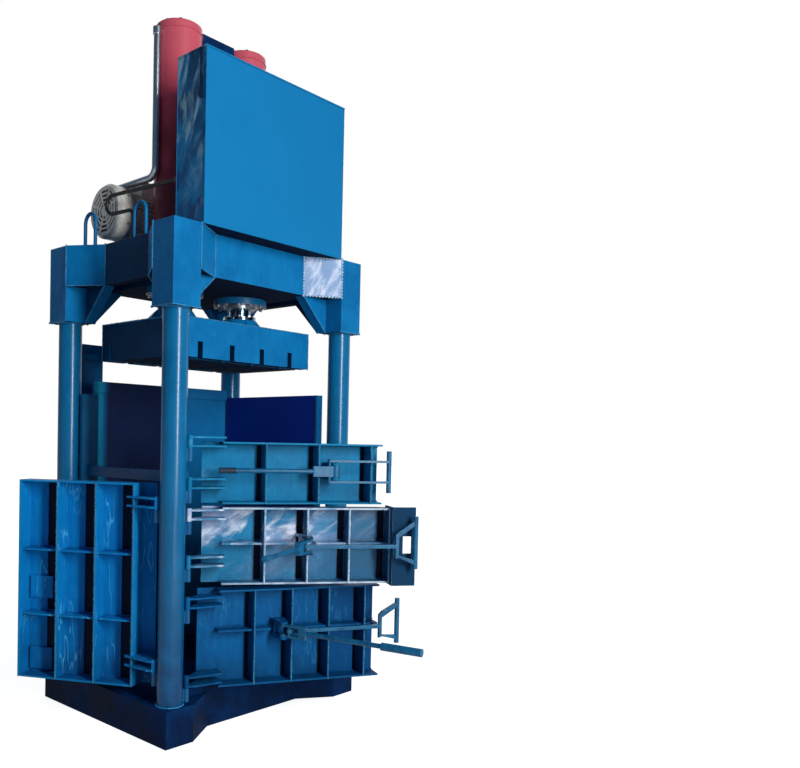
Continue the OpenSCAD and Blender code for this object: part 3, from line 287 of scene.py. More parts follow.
def enamel(name, look, doorName=None):
    material, tree, shader = startMaterial(name)
    paint = useGroup(tree, brushedPaint, {
        "Base": rgba(look["base"]), "Deep": rgba(look["deep"]), "Pale": rgba(look["pale"]),
        "Blotch Scale": look.get("blotchScale", 3.0), "Blotch Amount": look.get("blotch", 0.5),
        "Pale Amount": look.get("thin", 0.25), "Pale Spread": look.get("thinSpread", 0.2),
        "Stroke Scale": look.get("strokeScale", 90.0), "Stroke Depth": look.get("strokeDepth", 0.07),
        "Shift": look.get("shift", 0.0)})
    # Soiling, and painted shade, darker towards the bottom
    dirtAndShade = useGroup(tree, grimeAndShade, {
        "Low": look.get("grimeAndShadeLow", 0.1), "High": look.get("grimeAndShadeHigh", 1.0),
        "Amount": look.get("grimeAndShadeAmount", 0.4), "Scale": look.get("grimeScale", 7.0)})["Mask"]
    color = mixColor(tree, dirtAndShade, paint["Color"], rgba(look.get("grimeAndShadeColor", (0.012, 0.03, 0.05))))
    place = objectPlace(tree)
    axes = axesOf(tree, place)
    facing = addNode(tree, "ShaderNodeNewGeometry").outputs["Normal"]
    for spot in look.get("spots", []):
        mask = spot.get("amount", 1.0)
        if "group" in spot:
            inputs = {label: value for label, value in spot.items() if label[0].isupper()}
            mask = useGroup(tree, spot["group"], inputs)["Mask"]
        if "side" in spot:
            turned = dot(tree, facing, spot["side"])
            mask = calc(tree, "MULTIPLY", mask, remap(tree, turned, 0.90, 0.97))
        for axis, start, stop, least in spot.get("fade", []):
            mask = calc(tree, "MULTIPLY", mask, remap(tree, axes[axis], start, stop, 1.0, least, True))
        color = mixColor(tree, mask, color, rgba(spot["color"]))
    rough = remap(tree, paint["Gloss"], 0.35, 0.65, look.get("glossLow", 0.24), look.get("glossHigh", 0.42))
    if doorName:
        door = doors[doorName]
        hinge = sideHinge if doorName == "side" else frontHinge
        turn = -math.radians(door["open"] + 90) if doorName == "side" else math.radians(door["open"])
        away = Matrix.Rotation(turn, 3, "Z") @ Vector((*hinge, 0.0))
        side = -1 if doorName == "side" else 1
        edge = side * (door["skin"] - ribDepth)
        # Painted highlight on the rib and flange edges
        mask = useGroup(tree, ribEdgeHighlight, {
            "Turn": (0.0, 0.0, turn), "Origin": tuple(-away), "Inside": edge + side * 0.007,
            "Edge": edge + side * 0.002, "Outside": edge - side * 0.004,
            "Amount": look.get("ribHighlightAmount", 0.8)})["Mask"]
        color = mixColor(tree, mask, color, rgba(look["rib"]))
    if "lapShadeColor" in look:  # the plate that laps the next column: painted shade, and rubbed matt by its latch
        local = firstOf(tree, "ShaderNodeMapping", {"Vector": place, "Location": tuple(-away),
                "Rotation": (0.0, 0.0, turn)}, {"vector_type": "POINT"})
        outward = axesOf(tree, local)["Y"]
        onLap = remap(tree, outward, -0.018, -0.022)
        color = mixColor(tree, onLap, color, rgba(look["lapShadeColor"]))
        rough = calc(tree, "MAXIMUM", rough, calc(tree, "MULTIPLY", onLap, 0.85))
    # Paler edges: rubbed paint, and painted highlight
    wornAndLit = useGroup(tree, edgeWearAndHighlight, {
        "Reach": look.get("wearReach", 0.006), "Amount": look.get("wearAndHighlight", 0.5),
        "Grain": look.get("wearGrain", 26.0)})["Mask"]
    color = mixColor(tree, wornAndLit, color, rgba(look["edge"]))
    tree.links.new(color, shader.inputs["Base Color"])
    if "underside" in look:  # never wiped, so dull
        down = dot(tree, facing, (0.0, 0.0, -1.0))
        rough = calc(tree, "MAXIMUM", rough, remap(tree, down, 0.3, 0.8))
    tree.links.new(rough, shader.inputs["Roughness"])
    shader.inputs["Specular IOR Level"].default_value = look.get("specular", 0.5)
    corner = firstOf(tree, "ShaderNodeBevel", {"Radius": look.get("cornerRadius", 0.004)}, {"samples": 4})
    bump = addNode(tree, "ShaderNodeBump", None, {
        "Strength": look.get("bump", 0.25), "Distance": look.get("bumpDepth", 0.004),
        "Height": paint["Height"], "Normal": corner})
    tree.links.new(bump.outputs[0], shader.inputs["Normal"])
    return material


def metal(name, look):
    material, tree, shader = startMaterial(name)
    where = objectPlace(tree)
    stretched = firstOf(tree, "ShaderNodeMapping", {"Vector": where,
            "Scale": look.get("grainStretch", (1, 1, 6))})
    grain = noise(tree, {"Vector": stretched, "Scale": look.get("grainScale", 60.0), "Detail": 4.0})
    stain = noise(tree, {"Vector": where, "Scale": look.get("stainScale", 9.0), "Detail": 5.0})
    mask = remap(tree, stain, 0.45, 0.7, 0.0, look.get("stain", 0.4))
    color = mixColor(tree, mask, rgba(look["base"]), rgba(look["stainColor"]))
    tree.links.new(color, shader.inputs["Base Color"])
    tree.links.new(remap(tree, grain, 0.3, 0.7, look["glossLow"], look["glossHigh"]),
        shader.inputs["Roughness"])
    shader.inputs["Metallic"].default_value = look.get("metallic", 1.0)
    shader.inputs["Specular IOR Level"].default_value = look.get("specular", 0.5)
    corner = firstOf(tree, "ShaderNodeBevel", {"Radius": look.get("cornerRadius", 0.002)}, {"samples": 4})
    bump = addNode(tree, "ShaderNodeBump", None, {"Strength": look.get("bump", 0.1), "Distance": 0.002,
            "Height": grain, "Normal": corner})
    tree.links.new(bump.outputs[0], shader.inputs["Normal"])
    return material


def moulded(name, look):
    material, tree, shader = startMaterial(name)
    where = objectPlace(tree)
    grain = noise(tree, {"Vector": where, "Scale": look.get("grainScale", 350.0), "Detail": 3.0})
    dust = noise(tree, {"Vector": where, "Scale": look.get("dustScale", 12.0), "Detail": 5.0})
    mask = remap(tree, dust, 0.45, 0.75, 0.0, look.get("dust", 0.3))
    tree.links.new(mixColor(tree, mask, rgba(look["base"]), rgba(look["dustColor"])),
        shader.inputs["Base Color"])
    tree.links.new(remap(tree, dust, 0.3, 0.7, look["glossLow"], look["glossHigh"]),
        shader.inputs["Roughness"])
    bump = addNode(tree, "ShaderNodeBump", None, {"Strength": look.get("bump", 0.2), "Distance": 0.001,
            "Height": grain})
    tree.links.new(bump.outputs[0], shader.inputs["Normal"])
    return material


def dress(material, *names):
    for name in names:
        for slot in nodes[name].material_slots:
            slot.material = material


# Paint finishes
columnPaint = {"base": (0.003, 0.135, 0.31), "deep": (0.002, 0.09, 0.22), "pale": (0.008, 0.20, 0.42),
    "edge": (0.04, 0.30, 0.54), "blotchScale": 2.5, "blotch": 0.4, "thin": 0.25, "glossLow": 0.19,
    # Painted shade: darker blue towards the feet of the columns
    "glossHigh": 0.26, "bump": 0.05, "grimeAndShadeAmount": 0.75, "grimeAndShadeLow": 0.2, "grimeAndShadeHigh": 1.3,
    "grimeAndShadeColor": (0.001, 0.024, 0.10), "wearAndHighlight": 0.2, "specular": 0.32, "shift": 3.0}
columnEnamel = enamel("columnEnamel", columnPaint)
dress(columnEnamel, "column_front_left", "column_front_right", "column_back_left", "column_back_right")

plateFacing, plateEdges = (-0.537, -0.844, 0.0), [("X", 0.35, 0.34, 0.0), ("Z", 2.54, 2.52, 0.0)]
# Painted shade on faces that look down
paintedShadeBelow = {"side": (0.0, 0.0, -1.0), "color": (0.001, 0.010, 0.035)}
crossheadPaint = {"base": (0.003, 0.165, 0.41), "deep": (0.003, 0.10, 0.28), "pale": (0.007, 0.22, 0.49),
    "edge": (0.03, 0.30, 0.56), "blotchScale": 3.4, "blotch": 0.5, "thin": 0.3, "wearAndHighlight": 0.4, "glossLow": 0.24,
    "glossHigh": 0.36, "bump": 0.08, "grimeAndShadeAmount": 0.0, "specular": 0.14, "underside": True, "shift": 8.0,
    # Painted shade on the left-facing web between the sleeves; painted reflection on the corner plate at the
    # front right, paler in patches
    "spots": [paintedShadeBelow, {"amount": 0.9, "side": (-1.0, 0.0, 0.0), "color": (0.002, 0.024, 0.075),
            "fade": [("Y", -0.41, -0.43, 0.0), ("Y", 0.41, 0.43, 0.0)]},
        {"amount": 0.8, "side": plateFacing, "color": (0.16, 0.28, 0.50), "fade": plateEdges},
        {"group": palePatch, "Turn": (0.0, -1.2, 0.0), "Stretch": (3.0, 1.0, 1.0), "Scale": 16.0, "Low": 0.45,
            "High": 0.62, "Shift": 4.0, "Amount": 0.9, "side": plateFacing, "color": (0.52, 0.60, 0.76),
            "fade": plateEdges}]}
crossheadEnamel = enamel("crossheadEnamel", crossheadPaint)
dress(crossheadEnamel, "crosshead", "lifting_loops", "platen")

tankPaint = {"base": (0.003, 0.175, 0.41), "deep": (0.003, 0.155, 0.37), "pale": (0.004, 0.19, 0.43),
    "edge": (0.03, 0.30, 0.56), "blotchScale": 1.6, "blotch": 0.35, "thin": 0.10, "strokeDepth": 0.015,
    "glossLow": 0.42, "glossHigh": 0.52, "bump": 0.015, "wearAndHighlight": 0.25, "grimeAndShadeAmount": 0.0, "specular": 0.12,
    # Painted shade below; painted reflection on the left side, in dark and pale patches
    "underside": True, "shift": 12.0, "spots": [paintedShadeBelow,
        {"group": palePatch, "Turn": (0.3, 0.0, 0.0), "Stretch": (1.0, 1.0, 2.0), "Scale": 7.0, "Low": 0.44,
            "High": 0.58, "Shift": 2.0, "Amount": 0.85, "side": (-1.0, 0.0, 0.0),
            "color": (0.004, 0.06, 0.17)}, {"group": palePatch, "Turn": (0.2, 0.0, 0.0),
            "Stretch": (1.0, 1.0, 2.5), "Scale": 12.0, "Low": 0.50, "High": 0.66, "Shift": 7.0,
            "Amount": 0.75, "side": (-1.0, 0.0, 0.0), "fade": [("Z", 3.6, 3.0, 0.3)],
            "color": (0.42, 0.68, 0.72)}]}
tankEnamel = enamel("tankEnamel", tankPaint)
dress(tankEnamel, "oil_tank")

chamberPaint = {"base": (0.003, 0.11, 0.27), "deep": (0.002, 0.05, 0.17), "pale": (0.006, 0.18, 0.38),
    "edge": (0.02, 0.22, 0.40), "blotchScale": 2.8, "blotch": 0.6, "thin": 0.3, "wearAndHighlight": 0.3, "specular": 0.25,
    "grimeAndShadeAmount": 0.3, "grimeAndShadeHigh": 0.8, "shift": 21.0}
chamberEnamel = enamel("chamberEnamel", chamberPaint)
dress(chamberEnamel, "feed_frame", "latch_keepers", "column_knuckles", "control_box", "control_door")

# Inside the chamber the inner faces of the walls carry painted shade; the back wall's left post carries a
# painted lit strip with painted highlights
backWallPaint = {"base": (0.003, 0.15, 0.38), "deep": (0.002, 0.08, 0.24), "pale": (0.006, 0.20, 0.44),
    "edge": (0.02, 0.20, 0.38), "blotchScale": 2.6, "blotch": 0.5, "thin": 0.3, "wearAndHighlight": 0.3, "specular": 0.15,
    "glossLow": 0.4, "glossHigh": 0.6, "grimeAndShadeAmount": 0.5, "grimeAndShadeHigh": 1.1,
    # Painted shade on the inner face; painted light on the left post, with painted highlights
    "spots": [{"side": (0.0, -1.0, 0.0), "color": (0.0006, 0.007, 0.04),
            "fade": [("X", -0.43, -0.50, 0.0), ("X", 0.05, 0.22, 0.0)]},
        {"side": (0.0, -1.0, 0.0), "color": (0.008, 0.40, 0.62), "fade": [("X", -0.52, -0.46, 0.0)]},
        {"group": paleLineHighlights, "Turn": (0.0, 0.0, 0.0), "Scale": 5.0, "Width": 0.02, "Shift": 2.0,
            "Amount": 0.6, "side": (0.0, -1.0, 0.0), "fade": [("X", -0.54, -0.48, 0.0)],
            "color": (0.35, 0.80, 0.92)}], "shift": 23.0}
dress(enamel("backWallEnamel", backWallPaint), "back_wall")
rightWallPaint = {"base": (0.003, 0.13, 0.31), "deep": (0.002, 0.07, 0.20), "pale": (0.006, 0.18, 0.38),
    "edge": (0.01, 0.10, 0.30), "blotchScale": 3.0, "blotch": 0.6, "thin": 0.3, "wearAndHighlight": 0.3, "specular": 0.15,
    "glossLow": 0.4, "glossHigh": 0.6, "grimeAndShadeAmount": 0.4, "grimeAndShadeHigh": 1.2, "shift": 25.0,
    # Painted shade on the inner face
    "spots": [{"side": (-1.0, 0.0, 0.0), "color": (0.001, 0.022, 0.24)}]}
dress(enamel("rightWallEnamel", rightWallPaint), "right_wall")

basePaint = {"base": (0.001, 0.028, 0.12), "deep": (0.001, 0.008, 0.030), "pale": (0.002, 0.055, 0.18),
    "edge": (0.003, 0.06, 0.16), "blotchScale": 3.0, "blotch": 0.8, "thin": 0.3, "wearAndHighlight": 0.3, "glossLow": 0.5,
    "glossHigh": 0.7, "specular": 0.06, "grimeAndShadeAmount": 0.6, "grimeAndShadeHigh": 0.25, "grimeAndShadeColor": (0.002, 0.003, 0.008),
    "shift": 31.0}
baseEnamel = enamel("baseEnamel", basePaint)
dress(baseEnamel, "base_frame", "chamber_floor", "pump", "port_block")

topDoorPaint = {"base": (0.003, 0.19, 0.39), "deep": (0.002, 0.13, 0.28), "pale": (0.008, 0.25, 0.46),
    "edge": (0.015, 0.26, 0.44), "rib": (0.006, 0.19, 0.36), "ribHighlightAmount": 0.6, "blotchScale": 4.0,
    "blotch": 0.5, "thin": 0.4, "wearAndHighlight": 0.35, "glossLow": 0.4, "glossHigh": 0.55, "specular": 0.08,
    "grimeAndShadeAmount": 0.2, "grimeAndShadeLow": 1.2, "grimeAndShadeHigh": 1.5, "shift": 41.0,
    # Painted highlight: pale patches on the panels
    "spots": [{"group": palePatch, "Turn": (0.0, -0.5, -0.576), "Stretch": (2.2, 1.0, 1.0), "Scale": 7.0,
            "Low": 0.50, "High": 0.68, "Shift": 3.0, "Amount": 0.5, "fade": [("X", -0.3, -0.1, 0.2)],
            "color": (0.10, 0.38, 0.54)}]}
dress(enamel("topDoorEnamel", topDoorPaint, "top"), "top_door")

# Painted highlights on the edges and the ribs
middleDoorPaint = {"base": (0.003, 0.18, 0.37), "deep": (0.002, 0.10, 0.25), "pale": (0.02, 0.28, 0.48),
    "edge": (0.40, 0.62, 0.74), "rib": (0.66, 0.74, 0.84), "ribHighlightAmount": 1.0, "blotchScale": 2.6,
    "blotch": 0.6, "thin": 0.4, "thinSpread": 0.12, "wearAndHighlight": 0.5, "grimeAndShadeAmount": 0.2, "grimeAndShadeLow": 0.8,
    "grimeAndShadeHigh": 1.1, "glossLow": 0.28, "glossHigh": 0.42, "bump": 0.2, "specular": 0.2,
    # Painted reflections as pale patches with dark clouds among them; darker towards the free end
    "lapShadeColor": (0.002, 0.035, 0.09), "shift": 51.0, "spots": [{"group": palePatch,
            "Turn": (0.0, -0.62, -0.628), "Stretch": (1.8, 1.0, 1.0), "Scale": 5.0, "Low": 0.42, "High": 0.64,
            "Shift": 1.3, "Amount": 0.85, "color": (0.42, 0.50, 0.70),
            "fade": [("X", -0.02, 0.12, 0.45), ("Z", 1.07, 1.02, 0.15)]},
        {"group": palePatch, "Turn": (0.0, -0.62, -0.628), "Stretch": (3.0, 1.0, 1.0), "Scale": 12.0,
            "Low": 0.50, "High": 0.68, "Shift": 5.3, "Amount": 0.85, "color": (0.82, 0.86, 0.93),
            "fade": [("X", 0.0, 0.14, 0.45), ("Z", 1.07, 1.02, 0.1)]},
        {"group": palePatch, "Turn": (0.0, 0.3, -0.628), "Stretch": (1.6, 1.0, 1.0), "Scale": 8.0,
            "Low": 0.54, "High": 0.70, "Shift": 8.1, "Amount": 0.6, "color": (0.010, 0.07, 0.20)},
        {"amount": 0.75, "color": (0.003, 0.085, 0.19), "fade": [("X", 0.24, 0.06, 0.0)]}]}
dress(enamel("middleDoorEnamel", middleDoorPaint, "middle"), "middle_door")

bottomDoorPaint = {"base": (0.002, 0.10, 0.29), "deep": (0.002, 0.06, 0.18), "pale": (0.005, 0.16, 0.38),
    "edge": (0.008, 0.15, 0.34), "rib": (0.003, 0.11, 0.27), "ribHighlightAmount": 0.5, "blotchScale": 4.0,
    "blotch": 0.5, "thin": 0.35, "wearAndHighlight": 0.3, "glossLow": 0.4, "glossHigh": 0.55, "specular": 0.06,
    "grimeAndShadeAmount": 0.6, "grimeAndShadeLow": 0.25, "grimeAndShadeHigh": 0.5, "grimeAndShadeColor": (0.003, 0.03, 0.08), "shift": 61.0,
    "spots": [{"color": (0.002, 0.06, 0.19), "fade": [("X", 0.3, 0.05, 0.0)]},
        # Painted highlights: thin pale lines
        {"group": paleLineHighlights, "Turn": (0.0, 0.0, -0.489), "Scale": 8.0, "Width": 0.012, "Shift": 4.0,
            "Amount": 0.25, "color": (0.05, 0.34, 0.56)}]}
dress(enamel("bottomDoorEnamel", bottomDoorPaint, "bottom"), "bottom_door")

sideDoorPaint = {"base": (0.003, 0.21, 0.54), "deep": (0.002, 0.16, 0.44), "pale": (0.006, 0.31, 0.68),
    "edge": (0.01, 0.30, 0.62), "rib": (0.005, 0.28, 0.60), "ribHighlightAmount": 0.6, "blotchScale": 3.4,
    "blotch": 0.5, "thin": 0.35, "wearAndHighlight": 0.3, "glossLow": 0.35, "glossHigh": 0.5, "specular": 0.10,
    "grimeAndShadeAmount": 0.75, "grimeAndShadeLow": 0.25, "grimeAndShadeHigh": 0.7, "grimeAndShadeColor": (0.003, 0.06, 0.20), "shift": 71.0,
    # Painted highlights: thin pale lines down the panels
    "spots": [{"group": paleLineHighlights, "Turn": (0.0, 0.0, 2.094), "Scale": 7.0, "Width": 0.010, "Shift": 9.0,
            "Amount": 0.6, "color": (0.14, 0.66, 0.90)}]}
dress(enamel("sideDoorEnamel", sideDoorPaint, "side"), "side_door")

latchPaint = {"base": (0.004, 0.11, 0.24), "deep": (0.003, 0.05, 0.13), "pale": (0.03, 0.25, 0.40),
    "edge": (0.08, 0.34, 0.48), "blotchScale": 9.0, "blotch": 0.6, "thin": 0.4, "wearAndHighlight": 0.5, "glossLow": 0.25,
    "glossHigh": 0.4, "specular": 0.3, "grimeAndShadeAmount": 0.0, "shift": 75.0}
latchEnamel = enamel("latchEnamel", latchPaint)
dress(latchEnamel, "top_handle", "middle_handle", "bottom_handle", "top_latch_link", "middle_latch_link",
    "bottom_latch_link")

cylinderPaint = {"base": (0.52, 0.055, 0.095), "deep": (0.30, 0.018, 0.034), "pale": (0.64, 0.13, 0.18),
    "edge": (0.60, 0.14, 0.18), "blotchScale": 3.0, "blotch": 0.6, "thin": 0.3, "glossLow": 0.28,
    "glossHigh": 0.42, "bump": 0.05, "grimeAndShadeAmount": 0.9, "grimeAndShadeLow": 3.1, "grimeAndShadeHigh": 3.7,
    "grimeAndShadeColor": (0.12, 0.016, 0.026), "wearAndHighlight": 0.2, "specular": 0.35, "shift": 81.0,
    # Painted light: paler towards the top; the darker lower part is painted shade
    "spots": [{"color": (0.62, 0.10, 0.14), "fade": [("Z", 4.0, 3.55, 0.0)]},
        {"color": (0.004, 0.15, 0.34), "fade": [("Z", 2.765, 2.79, 0.0)]}]}
dress(enamel("cylinderEnamel", cylinderPaint), "cylinder_left", "cylinder_right", "end_caps")

motorPaint = {"base": (0.66, 0.65, 0.60), "deep": (0.34, 0.33, 0.29), "pale": (0.85, 0.84, 0.80),
    "edge": (0.9, 0.89, 0.85), "blotchScale": 9.0, "blotch": 0.6, "thin": 0.5, "glossLow": 0.25,
    "glossHigh": 0.4, "bump": 0.15, "grimeAndShadeAmount": 0.5, "grimeAndShadeLow": 2.75, "grimeAndShadeHigh": 2.92,
    "grimeAndShadeColor": (0.08, 0.07, 0.06), "wearAndHighlight": 0.6, "shift": 91.0}
dress(enamel("motorEnamel", motorPaint), "motor_body", "fan_cowl", "terminal_box", "bell_housing")

# Bare metal, rubber and plastics
metals = {
    # Base tinted blue: a painted reflection of blue surroundings
    "hardChrome": {"base": (0.24, 0.36, 0.44), "stainColor": (0.12, 0.22, 0.30), "stain": 0.3,
        "glossLow": 0.10, "glossHigh": 0.20, "bump": 0.02,
        "nodes": ("rod_left", "rod_right")},
    "turnedSteel": {"base": (0.50, 0.51, 0.53), "stainColor": (0.14, 0.11, 0.09), "stain": 0.5,
        "glossLow": 0.28, "glossHigh": 0.5,
        "nodes": ("hinge_pins", "rod_foot_bolts", "glands", "flange_bolts", "drain_plug", "motor_rotor",
            "valve_block", "top_pivot_pin", "middle_pivot_pin", "bottom_pivot_pin")},
    "pipeSteel": {"base": (0.60, 0.66, 0.72), "stainColor": (0.25, 0.26, 0.28), "stain": 0.35,
        "glossLow": 0.25, "glossHigh": 0.42,
        "nodes": ("pressure_pipe",)},
}
for name, look in metals.items():
    dress(metal(name, look), *look["nodes"])
linerPaint = {"base": (0.004, 0.09, 0.22), "deep": (0.003, 0.03, 0.08), "pale": (0.03, 0.13, 0.22),
    "edge": (0.10, 0.12, 0.14), "blotchScale": 3.5, "blotch": 0.7, "thin": 0.5, "wearAndHighlight": 0.5, "glossLow": 0.4,
    "glossHigh": 0.6, "specular": 0.1, "grimeAndShadeAmount": 0.5, "grimeAndShadeHigh": 1.4}
for number, (name, door) in enumerate(doors.items()):
    turn = math.radians(door["open"])
    outside = (-math.cos(turn), -math.sin(turn), 0.0) if name == "side" else (-math.sin(turn),
        -math.cos(turn), 0.0)
    scuffs = {"group": palePatch, "Turn": (0.0, 0.4, 0.0), "Stretch": (4.0, 1.0, 1.0), "Scale": 12.0,
        "Low": 0.56, "High": 0.70, "Shift": float(number), "Amount": 0.5, "color": (0.12, 0.13, 0.14)}
    # Painted shade on the outward face, so the slots look dark
    slotPaintedShade = {"side": outside, "color": (0.002, 0.008, 0.032)}
    dress(enamel(name + "LinerEnamel", {**linerPaint, "shift": 95.0 + number, "spots": [scuffs, slotPaintedShade]}),
        name + "_door_liner")
moulds = {
    "hoseRubber": {"base": (0.010, 0.010, 0.012), "dustColor": (0.03, 0.032, 0.036), "dust": 0.5,
        "glossLow": 0.4, "glossHigh": 0.6,
        "nodes": ("return_hose", "suction_hose")},
    "gripRubber": {"base": (0.002, 0.010, 0.028), "dustColor": (0.006, 0.04, 0.08), "dust": 0.5,
        "glossLow": 0.5, "glossHigh": 0.7,
        "nodes": ("top_grip",)},
    "capPlastic": {"base": (0.02, 0.02, 0.024), "dustColor": (0.08, 0.08, 0.08), "dust": 0.3, "glossLow": 0.3,
        "glossHigh": 0.45,
        "nodes": ("filler_cap",)},
    "gaugeGlass": {"base": (0.003, 0.015, 0.05), "dustColor": (0.02, 0.10, 0.20), "dust": 0.6,
        "glossLow": 0.1, "glossHigh": 0.25,
        "nodes": ("level_gauge",)},
    "startPlastic": {"base": (0.02, 0.28, 0.07), "dustColor": (0.04, 0.20, 0.08), "dust": 0.3,
        "glossLow": 0.2, "glossHigh": 0.35,
        "nodes": ("start_button",)},
    "stopPlastic": {"base": (0.50, 0.02, 0.02), "dustColor": (0.32, 0.05, 0.04), "dust": 0.3, "glossLow": 0.2,
        "glossHigh": 0.35,
        "nodes": ("stop_button",)},
}
for name, look in moulds.items():
    dress(moulded(name, look), *look["nodes"])
print("finishes on every CAD node")

# Geometry Nodes: a scalloped weld along any path
geometrySocket, intSocket, materialSocket = "NodeSocketGeometry", "NodeSocketInt", "NodeSocketMaterial"
weldTree, given, result = newGroup(
    "weldBead",
    [("Path", geometrySocket, None), ("Bead Spacing", floatSocket, 0.008), ("Bead Radius", floatSocket, 0.005),
     ("Unevenness", floatSocket, 0.3), ("Seed", intSocket, 1), ("Finish", materialSocket, None)],
    [("Weld", geometrySocket)], "GeometryNodeTree")
tree = weldTree
curve = firstOf(tree, "GeometryNodeMeshToCurve", {"Mesh": given["Path"]})
spaced = firstOf(tree, "GeometryNodeResampleCurve", {"Curve": curve, "Length": given["Bead Spacing"]},
    {"mode": "LENGTH"})
drop = firstOf(tree, "GeometryNodeMeshIcoSphere", {"Radius": given["Bead Radius"], "Subdivisions": 1})
softDrop = firstOf(tree, "GeometryNodeSetShadeSmooth", {"Geometry": drop})
along = firstOf(tree, "GeometryNodeInputTangent")
turned = firstOf(tree, "FunctionNodeAlignRotationToVector", {"Vector": along}, {"axis": "X"})
least = calc(tree, "SUBTRACT", 1.0, given["Unevenness"])
most = calc(tree, "ADD", 1.0, given["Unevenness"])
swell = addNode(tree, "FunctionNodeRandomValue", {"data_type": "FLOAT"},
    {2: least, 3: most, "Seed": given["Seed"]}).outputs[1]
size = firstOf(tree, "ShaderNodeCombineXYZ", {0: 1.3, 1: swell, 2: swell})
beads = firstOf(tree, "GeometryNodeInstanceOnPoints", {"Points": spaced, "Instance": softDrop,
        "Rotation": turned, "Scale": size})
solid = firstOf(tree, "GeometryNodeRealizeInstances", {0: beads})
painted = firstOf(tree, "GeometryNodeSetMaterial", {"Geometry": solid, "Material": given["Finish"]})
tree.links.new(painted, result["Weld"])

# Geometry Nodes: hexagon screws with washers at points that carry the way they face
screwTree, given, result = newGroup(
    "hexScrews",
    [("Places", geometrySocket, None), ("Head Radius", floatSocket, 0.009),
        ("Head Height", floatSocket, 0.007),
     ("Washer Radius", floatSocket, 0.013), ("Washer Height", floatSocket, 0.002), ("Seed", intSocket, 1),
     ("Finish", materialSocket, None)],
    [("Screws", geometrySocket)], "GeometryNodeTree")
tree = screwTree
head = firstOf(tree, "GeometryNodeMeshCylinder", {"Vertices": 6, "Radius": given["Head Radius"],
        "Depth": given["Head Height"]})
rise = firstOf(tree, "ShaderNodeMath", {0: given["Head Height"], 1: 0.5, 2: given["Washer Height"]},
    {"operation": "MULTIPLY_ADD"})
lift = firstOf(tree, "ShaderNodeCombineXYZ", {2: rise})
headUp = firstOf(tree, "GeometryNodeTransform", {"Geometry": head, "Translation": lift})
washer = firstOf(tree, "GeometryNodeMeshCylinder", {"Vertices": 16, "Radius": given["Washer Radius"],
        "Depth": given["Washer Height"]})
halfWasher = calc(tree, "MULTIPLY", given["Washer Height"], 0.5)
washerLift = firstOf(tree, "ShaderNodeCombineXYZ", {2: halfWasher})
washerUp = firstOf(tree, "GeometryNodeTransform", {"Geometry": washer, "Translation": washerLift})
screw = addNode(tree, "GeometryNodeJoinGeometry")
tree.links.new(headUp, screw.inputs[0])
tree.links.new(washerUp, screw.inputs[0])
facing = firstOf(tree, "GeometryNodeInputNamedAttribute", {"Name": "facing"}, {"data_type": "FLOAT_VECTOR"})
upright = firstOf(tree, "FunctionNodeAlignRotationToVector", {"Vector": facing}, {"axis": "Z"})
spin = addNode(tree, "FunctionNodeRandomValue", {"data_type": "FLOAT"},
    {2: 0.0, 3: 6.28, "Seed": given["Seed"]}).outputs[1]
spinTurn = firstOf(tree, "FunctionNodeAxisAngleToRotation", {"Axis": (0.0, 0.0, 1.0), "Angle": spin})
turned = firstOf(tree, "FunctionNodeRotateRotation", {"Rotation": upright, "Rotate By": spinTurn},
    {"rotation_space": "LOCAL"})
placed = firstOf(tree, "GeometryNodeInstanceOnPoints", {"Points": given["Places"],
        "Instance": screw.outputs[0], "Rotation": turned})
solid = firstOf(tree, "GeometryNodeRealizeInstances", {0: placed})
painted = firstOf(tree, "GeometryNodeSetMaterial", {"Geometry": solid, "Material": given["Finish"]})
tree.links.new(painted, result["Screws"])


def bakeTree(name, mesh, tree, values, body):
    source = bpy.data.objects.new(name + "Source", mesh)
    scene.collection.objects.link(source)
    modifier = source.modifiers.new(name, "NODES")
    modifier.node_group = tree
    for item in tree.interface.items_tree:
        if item.item_type == "SOCKET" and item.in_out == "INPUT" and item.name in values:
            modifier[item.identifier] = values[item.name]
    ready = source.evaluated_get(bpy.context.evaluated_depsgraph_get())
    made = bpy.data.meshes.new_from_object(ready)
    source.modifiers.remove(modifier)
    bpy.data.objects.remove(source)
    made.name = name
    piece = bpy.data.objects.new(name, made)
    scene.collection.objects.link(piece)
    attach(piece, body)
    return piece


def pathMesh(name, lines):
    points, edges = [], []
    for line in lines:
        first = len(points)
        points += [tuple(p) for p in line]
        edges += [(first + i, first + i + 1) for i in range(len(line) - 1)]
    mesh = bpy.data.meshes.new(name)
    mesh.from_pydata(points, edges, [])
    return mesh


def placesMesh(name, places):
    mesh = bpy.data.meshes.new(name)
    mesh.from_pydata([p for p, facing in places], [], [])
    attribute = mesh.attributes.new("facing", "FLOAT_VECTOR", "POINT")
    for i, (p, facing) in enumerate(places):
        attribute.data[i].vector = facing
    return mesh


def ringLine(x, y, z, radius, steps=40):
    return [(x + radius * math.cos(2 * math.pi * i / steps), y + radius * math.sin(2 * math.pi * i / steps),
                z) for i in range(steps + 1)]


def weld(name, lines, values, body, finish):
    settings = {"Bead Spacing": values["spacing"], "Bead Radius": values["radius"],
        "Unevenness": values["unevenness"], "Seed": values["seed"], "Finish": finish}
    return bakeTree(name, pathMesh(name + "Path", lines), weldTree, settings, body)


def screws(name, places, values, body, finish):
    settings = {"Head Radius": values["head"], "Head Height": values["headHeight"],
        "Washer Radius": values["washer"], "Washer Height": values["washerHeight"], "Seed": values["seed"],
        "Finish": finish}
    return bakeTree(name, placesMesh(name + "Places", places), screwTree, settings, body)


